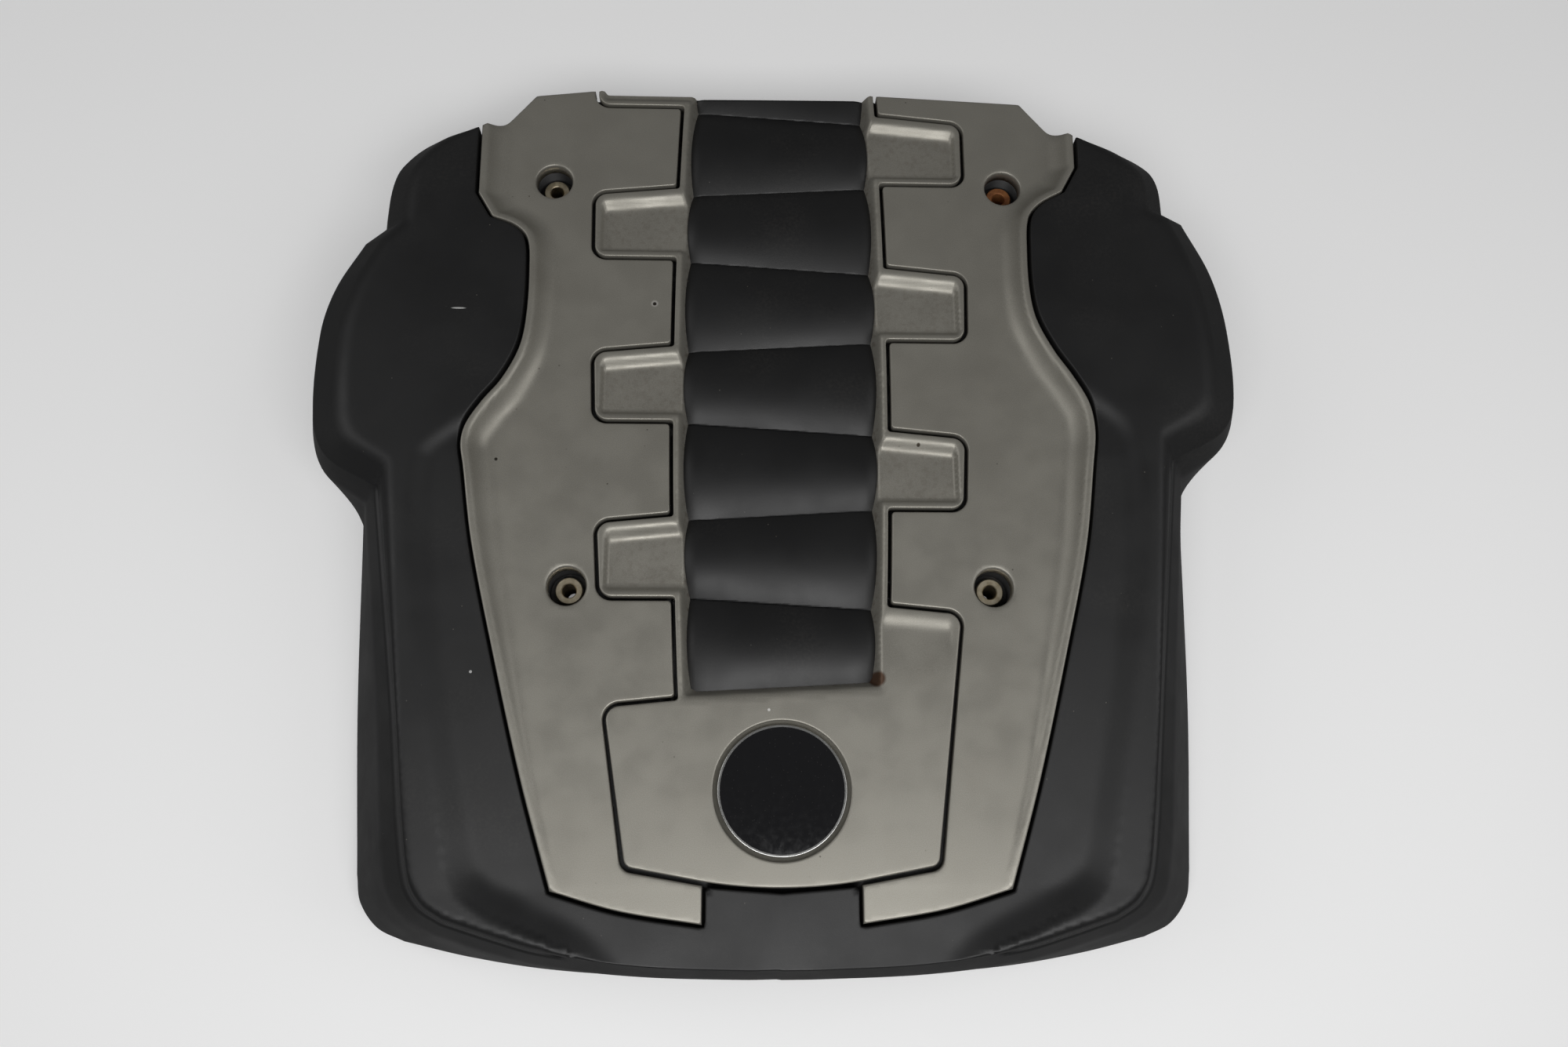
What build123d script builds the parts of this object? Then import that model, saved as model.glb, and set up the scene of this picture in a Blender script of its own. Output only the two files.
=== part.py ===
from build123d import *
import os
from functools import lru_cache
from math import hypot

os.makedirs("parts", exist_ok=True)

# Engine cover. Millimetres, +Z up, +Y towards the rear of the engine, +X to the right.
# Z = 0 is the lower rim. The right bank of the engine sits further back than the left
# one, so features on the two sides are shifted along Y by shares of the bank lead.

# Levels
plate_z = 80.0            # flat top of the silver trims
deck_drop = 8.0           # silver top down to the deck that the trims stand on
lip_rise = 10.0           # silver outer lip above the silver top
shoulder_rise = 12.0      # black shoulders above the silver top
rim_height = 14.0         # upright band along the lower rim
waist_z = 60.0            # widest line of the shoulders
crease_z = 78.0           # line where the side panels meet the top

# Walls and gaps
carrier_wall = 3.0
trim_wall = 2.4
groove = 2.0              # dark groove between two silver trims
seam_gap = 1.6            # gap between silver and black
rib_clearance = 1.0       # walls of the silver frame to the top of the ribs
rib_end_gap = 1.2         # edge of the rib opening to the ends of the ribs

# Length and width
rear_y = 248.0
rear_corner_x = 142.0
front_y = -248.0
side_x = 240.0
shoulder_x = 259.0
wing_x = 227.0
bank_lead = 24.5

# Ribs
rib_pitch = 49.0
rib_count = 8
first_crease_y = 235.8
rib_drop = 6.5            # silver top down to the crest of a rib
rib_height = 6.0
slot_half = 55.0          # half width of the slot in the deck that the ribs fill
crease_slant = 3.3        # alternate creases lean by this much at this distance out
crease_end_x = 50.5
rail_width = 3.0

# Silver frame and its tabs
spine_mid = 59.7
spine_rear = 55.8
spine_front = 53.6
tab_count = 4
tab_rear_y = 207.6        # rear edge of the first tab, mean of both sides
tab_length = 44.1
tab_end = 99.6
tab_end_lean = 5.9
tab_end_curve = 1.2
tab_lean = 2.5            # rear edge of a tab: lower by this at its end, higher at its root
tab_radius = 8.0
pocket_depth = 4.5
pocket_lip = 2.4
pocket_rear_run = 7.0
pocket_front_run = 3.3
pocket_end_run = 2.0
opening_strip = 2.4       # silver strip between the groove and the rib opening
opening_drop = 11.0
opening_slope = 5.8       # run of the side walls on plan
opening_front_y = -106.0
opening_front_slant = 2.6

# Badge plate
plate_rear_y = -118.0
plate_front_x = 78.9
plate_front_y = -192.6
plate_nose_y = -203.0
nose_side_y = -199.8      # front edge of the badge plate where the legs begin
plate_corner_radius = 6.0
badge_y = -154.9
badge_radius = 32.6
badge_seat_gap = 2.2
badge_seat_depth = 3.0
bezel_height = 3.6
bezel_wall = 1.2
face_crown = 1.2
face_step = 0.4           # edge of the disc below the rim of the bezel
badge_pin_radius = 1.6
badge_pin_length = 4.0
badge_pin_spacing = 36.0

# Legs of the side trims in front of the badge plate
leg_x = 39.6
leg_front_y = -219.0
front_corner_x = 114.0
front_corner_y = -203.0

# Mountings
mount_rear_x = 129.2
mount_rear_y = 186.7
mount_front_x = 112.3
mount_front_y = -50.4
hole_radius = 10.25
collar_wall = 2.0
well_wall = 3.0
sleeve_radius = 7.35
sleeve_bore = 3.75
sleeve_length = 24.0
sleeve_drop = 12.0
sleeve_chamfer = 0.5
flange_drop = 29.0
flange_thickness = 3.0
neck_radius = 8.6
grommet_upper = 11.0
grommet_lower = 5.0
grommet_lower_radius = 11.5
slip = 0.1

# Pegs and push-on clips
peg_radius = 2.5
peg_length = 17.0
peg_play = 0.2
clip_radius = 6.0
clip_thickness = 0.8

# Channel in the black top beside the silver, and its sloping bank
channel_depth = 4.0
channel_bank = 11.0       # run of the sloping bank on plan
channel_drop = 0.5        # channel floor below the silver lip
bank_foot = 2.0           # how far the bank is drawn on below the channel floor
front_fall_y = 20.0       # from here the black top falls towards the front
groove_radius = 1.1       # round-bottomed crease along the top of the side panels

# Outer lip of the silver side trims
lip_width = 3.0
slope_run = 10.0
lip_fall_y = 20.0
silver_rear_x = 170.0     # outer end of the cut rear corner
inner_x = 8.0             # a line inside the silver frame, where side forms are closed
trim_rear_y = rear_y - 1.0

# How far a cutting form reaches past what it cuts
beyond = 10.0
far = 300.0

deck_z = plate_z - deck_drop
top_z = plate_z + shoulder_rise
crest_z = plate_z - rib_drop
crease_bottom_z = crest_z - rib_height
tab_root_x = spine_front - beyond
spine_mid_y = 60.0
side_pegs = [(145, 205), (118, 110), (135, 20), (112, -110), (62, -207)]
plate_pegs = [(-62, -170), (62, -170)]
tab_pegs = [(-80, 161), (-80, -35), (80, 210), (80, 14)]
mounts = {
    "rear_left": (-mount_rear_x, mount_rear_y),
    "rear_right": (mount_rear_x, mount_rear_y),
    "front_left": (-mount_front_x, mount_front_y),
    "front_right": (mount_front_x, mount_front_y),
}


def lead(y, share, side):
    """Y of a feature on one side, shifted by its share of the bank lead."""
    return y + side * share * bank_lead / 2


def one_side(half, side):
    """Points of a half outline with the lead of one side, X still positive."""
    return [(x, lead(y, share, side), corner) for x, y, share, corner in half]


def flipped(ring, side):
    """A ring drawn for positive X, moved to its own side."""
    return [(side * x, y, corner) for x, y, corner in ring]


def mirrored(half):
    """Closed ring from a half outline of (x, y, share of the lead, corner) points."""
    right = one_side(half, 1)
    left = [(-x, y, corner) for x, y, corner in reversed(one_side(half, -1)) if x > 0]
    return right + left


def grown(ring, amount):
    """The ring with each point moved outwards along its own normal."""
    moved = []
    count = len(ring)
    for i, (x, y, corner) in enumerate(ring):
        before = ring[i - 1]
        after = ring[(i + 1) % count]
        ax, ay = x - before[0], y - before[1]
        bx, by = after[0] - x, after[1] - y
        a, b = hypot(ax, ay), hypot(bx, by)
        nx = -(ay / a + by / b)
        ny = ax / a + bx / b
        size = nx * nx + ny * ny
        moved.append((x + 2 * amount * nx / size, y + 2 * amount * ny / size, corner))
    return moved


def draw(ring):
    """Edges of a closed ring: straight between two corners, else a curve."""
    starts = [i for i, point in enumerate(ring) if point[2]]
    count = len(ring)
    for n, i in enumerate(starts):
        stop = starts[(n + 1) % len(starts)]
        steps = (stop - i) % count
        run = [ring[(i + k) % count][:2] for k in range(steps + 1)]
        if steps == 1:
            Line(*run)
        else:
            Spline(*run)


# Outlines, each from the middle of the rear edge down the right side to the front.
# The last value of a point says whether the outline has a corner there.
rim_half = [
    (0, rear_y, 0, False), (rear_corner_x, rear_y - 4.5, 0, True),
    (158, rear_y - 22, 0, False),
    (176, rear_y - 30, 0, True), (wing_x - 25, 213, 0, False), (wing_x - 6, 200, 0.2, False),
    (wing_x, 186, 0.4, False), (wing_x + 1, 163, 0.6, True), (shoulder_x - 24, 152, 0.8, True),
    (shoulder_x - 10, 126, 0.6, False), (shoulder_x - 5, 95, 0.3, False),
    (shoulder_x - 6, 47, 0.5, False), (shoulder_x - 12, 24, 0.7, False),
    (side_x, 8, 0.7, True), (side_x - 5.6, -105, 0, False), (side_x - 13.2, -195, 0, True),
    (side_x - 16, -209, 0, False), (side_x - 26, -222, 0, False), (side_x - 41, -229, 0, True),
    (164, -237, 0, False), (122, -243.5, 0, False), (73, front_y + 1, 0, False),
    (20, front_y, 0, False),
]
waist_half = [
    (0, rear_y, 0, False), (rear_corner_x, rear_y - 4.5, 0, True),
    (158, rear_y - 22, 0, False),
    (176, rear_y - 30, 0, True), (wing_x - 25, 213, 0, False), (wing_x - 6, 200, 0.2, False),
    (wing_x, 186, 0.4, False), (wing_x + 1, 163, 0.6, True), (shoulder_x - 20, 158, 0.8, True),
    (shoulder_x - 6, 127, 0.6, False), (shoulder_x, 95, 0.3, False),
    (shoulder_x - 1, 47, 0.5, False), (shoulder_x - 9, 26, 0.7, False),
    (side_x - 14, 9, 0.7, True), (211, -108, 0, False), (203, -180, 0, True),
    (197, -205, 0, False), (188, -215.5, 0, False), (172, -224, 0, True),
    (146, -232, 0, False), (120, -238.5, 0, False), (73, -244, 0, False), (20, -246, 0, False),
]
crease_half = [
    (0, rear_y, 0, False), (rear_corner_x, rear_y - 4.5, 0, True),
    (158, rear_y - 22, 0, False),
    (174, rear_y - 31, 0, True), (wing_x - 28, 211, 0, False), (wing_x - 11, 198, 0.2, False),
    (wing_x - 6, 185, 0.4, False), (wing_x - 5, 163, 0.6, True), (shoulder_x - 26, 156, 0.8, True),
    (shoulder_x - 12, 126, 0.6, False), (shoulder_x - 6, 95, 0.3, False),
    (shoulder_x - 7, 47, 0.5, False), (shoulder_x - 16, 29, 0.7, False),
    (side_x - 25, 13, 0.75, True), (197, -110, 0, False), (189.5, -165, 0, True),
    (183.5, -198, 0, False), (176.7, -209.7, 0, False), (165.5, -217, 0, True),
    (139.7, -225.2, 0, False), (118.8, -231, 0, False), (73, -238, 0, False), (20, -240.5, 0, False),
]
crown_half = [
    (0, rear_y, 0, False), (rear_corner_x, rear_y - 4.5, 0, True),
    (158, rear_y - 22, 0, False),
    (171, rear_y - 33, 0, True), (wing_x - 38, 206, 0, False), (wing_x - 25, 193, 0.2, False),
    (wing_x - 21, 182, 0.4, False), (wing_x - 20, 163, 0.6, True), (shoulder_x - 42, 154, 0.8, True),
    (shoulder_x - 30, 124, 0.6, False), (shoulder_x - 24, 93, 0.3, False),
    (shoulder_x - 25, 50, 0.5, False), (shoulder_x - 31, 36, 0.7, False),
    (side_x - 31, 24, 0.75, True), (193, -108, 0, False), (186, -162, 0, True),
    (180, -195, 0, False), (173, -205, 0, False), (162, -213, 0, True),
    (137, -221, 0, False), (116, -227, 0, False), (73, -234, 0, False), (20, -236.5, 0, False),
]
silver_half = [
    (0, trim_rear_y, 0, False), (rear_corner_x, trim_rear_y - 4, 0, True),
    (151, rear_y - 16, 0, False), (159, rear_y - 25, 0, False),
    (silver_rear_x, rear_y - 31.5, 0, True),
    (169.5, 184, 0.9, True), (161, 169, 0.85, True), (148, 162.5, 0.75, False),
    (141, 154, 0.7, False), (139, 134, 0.6, False), (139.2, 108, 0.7, False),
    (142, 90, 0.8, False), (150.5, 71.5, 0.8, False), (160.5, 57, 0.7, False),
    (168, 43, 0.6, False), (170, 30, 0.4, False), (168, 15, 0.2, False), (161.3, -29, 0, False),
    (147.5, -86, 0, False), (130.5, -150, 0, False), (front_corner_x, front_corner_y, 0, True),
    (80, -212.6, 0, False), (leg_x, leg_front_y, 0, True), (leg_x, nose_side_y, 0, True),
    (0, plate_nose_y, 0, False),
]
# Points of the outlines where the rear corner of the silver ends, along the silver lip
# and along the crease of a side panel
corner_point = 4
lip_points = slice(corner_point, 21)
panel_points = slice(13, 21)
# Room for the silver in the black top: the same edge, open at the rear
room_half = [(0, rear_y + beyond, 0, False), (silver_rear_x, rear_y + beyond, 0, True)]
room_half += silver_half[corner_point:]
channel_half = [
    (0, 84, 0, False), (100, 84, 0.8, True), (146, 84, 0.8, True), (170, 60, 0.75, False),
    (192, 40, 0.7, False), (199, 25, 0.5, False), (197, -32, 0, False), (182, -113, 0, False),
    (169, -171, 0, False), (162, -199, 0, False), (150, -211, 0, False), (126, -222, 0, False),
    (97, -236, 0, False), (70, -262, 0, True), (0, -262, 0, False),
]


def carrier_form(inset, drop):
    """Closed black body: rim, waist, crease line and crown as ruled sections."""
    levels = [(rim_half, 0), (rim_half, rim_height), (waist_half, waist_z - drop),
              (crease_half, crease_z - drop), (crown_half, top_z - drop)]
    with BuildPart() as form:
        for half, z in levels:
            with BuildSketch(Plane.XY.offset(z)):
                with BuildLine():
                    draw(grown(mirrored(half), -inset))
                make_face()
        loft(ruled=True)
    return form.part


def above_slope(points):
    """Everything above a line drawn in side view, across the full width."""
    front, rear = points[-1], points[0]
    with BuildPart() as above:
        with BuildSketch(Plane.YZ):
            with BuildLine():
                Polyline(*points, (front[0], far), (rear[0], far), close=True)
            make_face()
        extrude(amount=far, both=True)
    return above.part


def falling_top(drop):
    """Everything above the black top, which falls towards the front."""
    low = plate_z + channel_depth - drop
    return above_slope([(front_fall_y, top_z - drop), (front_corner_y, low),
                        (front_y - beyond, low)])


def lip_fall(drop):
    """Everything above the silver lip, which fades out at the front corners."""
    low = plate_z - drop
    return above_slope([(lip_fall_y, low + lip_rise), (front_corner_y, low),
                        (front_y - beyond, low)])


def channel_form():
    """Hollow in the black top beside the silver and across the front, with a sloping bank."""
    fall = lip_rise / (lip_fall_y - front_corner_y)
    slanted = Plane(origin=(0, front_corner_y, plate_z), x_dir=(1, 0, 0), z_dir=(0, -fall, 1))
    foot = channel_bank * (1 + bank_foot / channel_depth)
    levels = [(-bank_foot, -foot), (channel_depth, 0), (2 * beyond, 0)]
    with BuildPart() as hollow:
        for height, grow in levels:
            ring = grown(mirrored(channel_half), grow)
            with BuildSketch(slanted.offset(height)):
                with BuildLine():
                    draw([(x, y - front_corner_y, corner) for x, y, corner in ring])
                make_face()
        loft(ruled=True)
        add(lip_fall(channel_drop), mode=Mode.INTERSECT)
    return hollow.part


def crease_groove(side):
    """Round-bottomed groove along the top of one side panel and round the front corner."""
    run = [(side * x, y) for x, y, corner in one_side(crease_half, side)[panel_points]]
    with BuildPart() as cut:
        with BuildLine(Plane.XY.offset(crease_z)) as path:
            Spline(*run)
        with BuildSketch(Plane(origin=path.line @ 0, z_dir=path.line % 0)):
            Circle(groove_radius)
        sweep()
    return cut.part


def tab_end_x(y):
    """Half width of the silver frame at the outer end of a tab."""
    return tab_end + tab_end_lean * y / 100 - tab_end_curve * (y / 100) ** 2


def tab_rear(side, index):
    """Rear edge of a tab at mid length. Left and right tabs alternate with the ribs."""
    return tab_rear_y + side * rib_pitch / 2 - 2 * rib_pitch * index


def seam_tab(side, index, grow):
    """Outline of one tab of the silver frame, reaching in to the ribs."""
    rear = tab_rear(side, index) + grow
    front = tab_rear(side, index) - tab_length - grow
    root = (side * tab_root_x, rear + tab_lean)
    last = (side * tab_root_x, front)
    with BuildSketch() as tab:
        with BuildLine():
            FilletPolyline(
                root,
                (side * (tab_end_x(rear) + grow), rear - tab_lean),
                (side * (tab_end_x(front) + grow), front),
                last,
                radius=tab_radius + grow,
            )
            Line(last, root)
        make_face()
    return tab.sketch


def badge_half(side, grow):
    """One half of the badge plate, from the last tab of that side to the nose."""
    rear = tab_rear(side, tab_count - 1) + grow
    nose = (0, plate_nose_y - grow)
    leg = (side * leg_x, nose_side_y - grow)
    between = (side * leg_x / 2, plate_nose_y + (nose_side_y - plate_nose_y) / 4 - grow)
    with BuildSketch() as half:
        with BuildLine():
            FilletPolyline(
                (0, rear + tab_lean),
                (side * (tab_end_x(rear) + grow), rear - tab_lean),
                (side * (plate_front_x + grow), plate_front_y - grow),
                leg,
                radius=[tab_radius + grow, plate_corner_radius + grow],
            )
            ThreePointArc(leg, between, nose)
            Line(nose, (0, rear + tab_lean))
        make_face()
    return half.sketch


def spine_plan(grow, rear, front_right, front_left):
    """Strip between two shallow arcs, as wide as the silver frame and its ribs."""
    wide_rear, wide_mid, wide_front = spine_rear + grow, spine_mid + grow, spine_front + grow
    with BuildSketch() as strip:
        with BuildLine():
            Line((-wide_rear, rear), (wide_rear, rear))
            ThreePointArc((wide_rear, rear), (wide_mid, spine_mid_y), (wide_front, front_right))
            Line((wide_front, front_right), (-wide_front, front_left))
            ThreePointArc((-wide_front, front_left), (-wide_mid, spine_mid_y), (-wide_rear, rear))
        make_face()
    return strip.sketch


@lru_cache
def frame_plan(grow):
    """Silver frame with its tabs and badge plate, grown past the middle of the grooves."""
    with BuildSketch() as frame:
        add(spine_plan(grow, rear_y + beyond, plate_rear_y, plate_rear_y))
        for side in (-1, 1):
            for index in range(-1, tab_count - 1):
                add(seam_tab(side, index, grow))
            add(badge_half(side, grow))
        with Locations((0, trim_rear_y + grow + groove / 2)):
            Rectangle(far, far, align=(Align.CENTER, Align.MIN), mode=Mode.SUBTRACT)
    return frame.sketch


def opening_plan(grow, slope_in):
    """Edge of the rib opening, moved out by one amount and in down the slope by another."""
    front = opening_front_y - grow + slope_in / opening_slope
    return spine_plan(grow - slope_in - groove / 2 - opening_strip, rear_y + 2 * beyond,
                      front + opening_front_slant, front - opening_front_slant)


def opening_form(grow):
    """Space over the ribs inside the silver frame, with sloping side walls."""
    with BuildPart() as space:
        for z, slope_in in ((plate_z + beyond, 0), (plate_z, 0),
                            (plate_z - opening_drop, opening_slope)):
            with BuildSketch(Plane.XY.offset(z)):
                add(opening_plan(grow, slope_in))
        loft(ruled=True)
    return space.part


def pocket_form(side, index, grow):
    """Recess in a tab: long slope at the rear, short ones at the front and the end."""
    edge = groove / 2 + pocket_lip - grow
    rear = tab_rear(side, index) - edge
    front = tab_rear(side, index) - tab_length + edge
    end = tab_end_x((rear + front) / 2) - edge
    floor_rear = rear - pocket_rear_run
    floor_front = front + pocket_front_run
    floor_end = end - pocket_end_run
    with BuildPart() as pocket:
        with BuildSketch(Plane.XY.offset(plate_z)):
            with BuildLine():
                Polyline(
                    (side * tab_root_x, rear + tab_lean), (side * end, rear - tab_lean),
                    (side * end, front), (side * tab_root_x, front), close=True,
                )
            make_face()
        with BuildSketch(Plane.XY.offset(plate_z - pocket_depth - grow)):
            with BuildLine():
                Polyline(
                    (side * tab_root_x, floor_rear), (side * floor_end, floor_rear),
                    (side * floor_end, floor_front), (side * tab_root_x, floor_front), close=True,
                )
            make_face()
        loft(ruled=True)
    return pocket.part


def crease_y(index, x):
    """Y of a crease between two ribs. Every other crease leans the other way."""
    lean = -1 if index % 2 == 0 else 1
    return first_crease_y - rib_pitch * index + lean * crease_slant * x / crease_end_x


def rib_profile(x, low, high):
    """Side view of all ribs between two levels counted from their own top."""
    edges = [crease_y(index, x) for index in range(-1, rib_count)]
    top = crease_bottom_z + high
    bottom = crease_bottom_z + low
    with BuildSketch() as profile:
        with BuildLine():
            for rear, front in zip(edges, edges[1:]):
                middle = (rear + front) / 2
                ThreePointArc((rear, top), (middle, crest_z + high), (front, top))
                ThreePointArc((rear, bottom), (middle, crest_z + low), (front, bottom))
            Line((edges[0], top), (edges[0], bottom))
            Line((edges[-1], top), (edges[-1], bottom))
        make_face()
    return profile.sketch


def rib_row(low, high, half_length):
    """Row of half-barrel ribs whose creases lean alternately."""
    with BuildPart() as row:
        for x in (-half_length, half_length):
            with BuildSketch(Plane.YZ.offset(x)):
                add(rib_profile(x, low, high))
        loft(ruled=True)
    return row.part


def rib_ends(side, reach):
    """Room for the ribs in one wall of the silver frame."""
    with BuildPart() as ends:
        with BuildSketch(Plane.YZ.offset(side * tab_root_x)):
            add(rib_profile(side * crease_end_x, -2 * beyond, rib_clearance))
        extrude(amount=side * reach)
    return ends.part


def carrier_ribs():
    """Ribs of the carrier, kept inside the silver frame above the deck."""
    with BuildPart() as ribs:
        add(rib_row(-carrier_wall, 0, slot_half + rail_width / 2))
        with BuildSketch(Plane.XY.offset(deck_z)):
            Rectangle(far, 2 * far)
            add(opening_plan(-rib_end_gap, 0), mode=Mode.SUBTRACT)
        extrude(amount=beyond, mode=Mode.SUBTRACT)
        with Locations((0, rear_y, crest_z)):
            Box(far, far, far, align=(Align.CENTER, Align.MIN, Align.CENTER), mode=Mode.SUBTRACT)
    return ribs.part


def pegs(places, top):
    """Moulded pegs under a trim, from its underside down through the deck."""
    with BuildPart() as row:
        with BuildSketch(Plane.XY.offset(top)):
            with Locations(*places):
                Circle(peg_radius)
        extrude(amount=plate_z - trim_wall - peg_length - top)
    return row.part


def clips(places):
    """Push-on steel clips on the pegs, pressed against the underside of the deck."""
    with BuildPart() as row:
        with BuildSketch(Plane.XY.offset(deck_z - carrier_wall)):
            with Locations(*places):
                Circle(clip_radius)
                Circle(peg_radius + slip / 2, mode=Mode.SUBTRACT)
        extrude(amount=-clip_thickness)
    return row.part


def side_plan(side, inset):
    """Plan of one silver side trim, between its outer edge and the groove round the frame."""
    outer = [(inner_x, rear_y, True)] + one_side(silver_half, side)[1:-1]
    outer.append((leg_x, plate_front_y, True))
    ring = [(inner_x, trim_rear_y - inset, True)] + grown(outer, -inset)[1:-1]
    ring += [(leg_x + inset, plate_front_y, True), (inner_x, plate_front_y, True)]
    with BuildSketch() as plan:
        with BuildLine():
            draw(flipped(ring, side))
        make_face()
        add(frame_plan(groove / 2 + inset), mode=Mode.SUBTRACT)
    return plan.sketch


def tray_form(side, grow, drop):
    """Space above the flat of a side trim, with a slope up to its outer lip."""
    points = one_side(silver_half, side)
    with BuildPart() as space:
        for z, run in ((plate_z - drop, lip_width + slope_run),
                       (plate_z + lip_rise - drop, lip_width), (top_z + beyond, lip_width)):
            edge = grown(points, grow - run)[lip_points]
            ring = [(inner_x, rear_y + beyond, True), (edge[0][0], rear_y + beyond, True)] + edge
            ring += [(edge[-1][0], front_y - beyond, True), (inner_x, front_y - beyond, True)]
            with BuildSketch(Plane.XY.offset(z)):
                with BuildLine():
                    draw(flipped(ring, side))
                make_face()
        loft(ruled=True)
    return space.part


def side_block(side, inset):
    """Solid form of a side trim, or of the hollow inside it."""
    with BuildPart() as block:
        with BuildSketch(Plane.XY.offset(deck_z)):
            add(side_plan(side, inset))
        extrude(amount=deck_drop + lip_rise - inset)
        add(tray_form(side, inset, inset), mode=Mode.SUBTRACT)
        add(lip_fall(inset), mode=Mode.SUBTRACT)
    return block.part


def open_tabs():
    """Side and index of each tab that has a recess, one of them cut by the rear edge."""
    pairs = [(side, index) for side in (-1, 1) for index in range(-1, tab_count - 1)]
    return [pair for pair in pairs if tab_rear(*pair) - tab_length < rear_y]


def frame_prism(grow, low, high):
    """Silver frame as a plain block between two levels."""
    with BuildPart() as prism:
        with BuildSketch(Plane.XY.offset(low)):
            add(frame_plan(grow))
        extrude(amount=high - low)
    return prism.part


def frame_lining():
    """Walls under the frame's own top: round the rib opening, the recesses and the seat."""
    with BuildPart() as lining:
        add(opening_form(trim_wall))
        for side, index in open_tabs():
            add(pocket_form(side, index, trim_wall))
        with Locations((0, badge_y, plate_z)):
            Cylinder(badge_radius + badge_seat_gap + trim_wall, badge_seat_depth + trim_wall,
                     align=(Align.CENTER, Align.CENTER, Align.MAX))
        add(frame_prism(-groove / 2, plate_z - 2 * opening_drop, plate_z), mode=Mode.INTERSECT)
        add(opening_form(0), mode=Mode.SUBTRACT)
        for side in (-1, 1):
            add(rib_ends(side, 2 * beyond), mode=Mode.SUBTRACT)
    return lining.part


def inner_space(drop, grow, deck_bottom):
    """Hollow underside of the carrier, kept below the deck where the silver stands."""
    walled = grown(mirrored(room_half), grow)
    with BuildPart() as space:
        add(carrier_form(carrier_wall, carrier_wall))
        add(falling_top(drop), mode=Mode.SUBTRACT)
        with BuildSketch(Plane.XY.offset(deck_bottom)):
            with BuildLine():
                draw(walled)
            make_face()
        extrude(amount=far, mode=Mode.SUBTRACT)
    return space.part


rib_slot_front = opening_front_y - opening_front_slant - carrier_wall
rail_bottom = crease_bottom_z - carrier_wall
well_radius = hole_radius + 2 * slip
flange_top = plate_z - flange_drop
flange_bottom = flange_top - flange_thickness
all_pegs = [(side * x, y) for side in (-1, 1) for x, y in side_pegs] + plate_pegs + tab_pegs

# Black carrier: shell, deck, ribs, wells and holes for the pegs
with BuildPart() as base_cover:
    add(carrier_form(0, 0))
    add(falling_top(0), mode=Mode.SUBTRACT)
    add(channel_form(), mode=Mode.SUBTRACT)
    for side in (-1, 1):
        add(crease_groove(side), mode=Mode.SUBTRACT)
    add(inner_space(carrier_wall + channel_depth, seam_gap + carrier_wall,
                    deck_z - carrier_wall), mode=Mode.SUBTRACT)
    with BuildSketch(Plane.XY.offset(deck_z)):
        with BuildLine():
            draw(grown(mirrored(room_half), seam_gap))
        make_face()
    extrude(amount=far, mode=Mode.SUBTRACT)
    with BuildSketch(Plane.XY.offset(deck_z)):
        with Locations((0, rib_slot_front)):
            Rectangle(2 * (slot_half + rail_width), rear_y - rib_slot_front,
                      align=(Align.CENTER, Align.MIN))
    extrude(amount=rail_bottom - deck_z)
    with BuildSketch(Plane.XY.offset(rail_bottom)):
        with Locations((0, rib_slot_front)):
            Rectangle(2 * slot_half, far + far, align=(Align.CENTER, Align.MIN))
    extrude(amount=far, mode=Mode.SUBTRACT)
    add(carrier_ribs())
    with BuildSketch(Plane.XY.offset(flange_bottom)):
        with Locations(*mounts.values()):
            Circle(well_radius + well_wall)
    extrude(amount=deck_z - flange_bottom)
    with BuildSketch(Plane.XY.offset(flange_bottom)):
        with Locations(*mounts.values()):
            Circle(neck_radius)
    extrude(amount=far, mode=Mode.SUBTRACT)
    with BuildSketch(Plane.XY.offset(flange_top)):
        with Locations(*mounts.values()):
            Circle(well_radius)
    extrude(amount=far, mode=Mode.SUBTRACT)
    with BuildSketch(Plane.XY.offset(rail_bottom)):
        with Locations(*all_pegs):
            Circle(peg_radius + peg_play)
    extrude(amount=beyond, mode=Mode.SUBTRACT)
base_cover.part.label = "base_cover"
export_step(base_cover.part, "parts/base_cover.step")

# Silver frame round the ribs, with its tab recesses and the badge seat
with BuildPart() as centre_trim:
    add(frame_prism(-groove / 2, deck_z, plate_z))
    add(frame_prism(-groove / 2 - trim_wall, deck_z, plate_z - trim_wall), mode=Mode.SUBTRACT)
    add(frame_lining())
    with BuildSketch(Plane.XY.offset(plate_z)):
        with Locations((0, badge_y)):
            Circle(badge_radius + badge_seat_gap)
    extrude(amount=-badge_seat_depth, mode=Mode.SUBTRACT)
    with BuildSketch(Plane.XY.offset(plate_z)):
        with Locations((0, badge_y)):
            with GridLocations(badge_pin_spacing, 0, 2, 1):
                Circle(badge_pin_radius + slip)
    extrude(amount=-beyond, mode=Mode.SUBTRACT)
    add(opening_form(0), mode=Mode.SUBTRACT)
    for side in (-1, 1):
        add(rib_ends(side, beyond), mode=Mode.SUBTRACT)
    for side, index in open_tabs():
        add(pocket_form(side, index, 0), mode=Mode.SUBTRACT)
    add(pegs(plate_pegs, plate_z - trim_wall / 2))
    add(pegs(tab_pegs, plate_z - pocket_depth - trim_wall / 2))
centre_trim.part.label = "centre_trim"
export_step(centre_trim.part, "parts/centre_trim.step")

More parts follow.
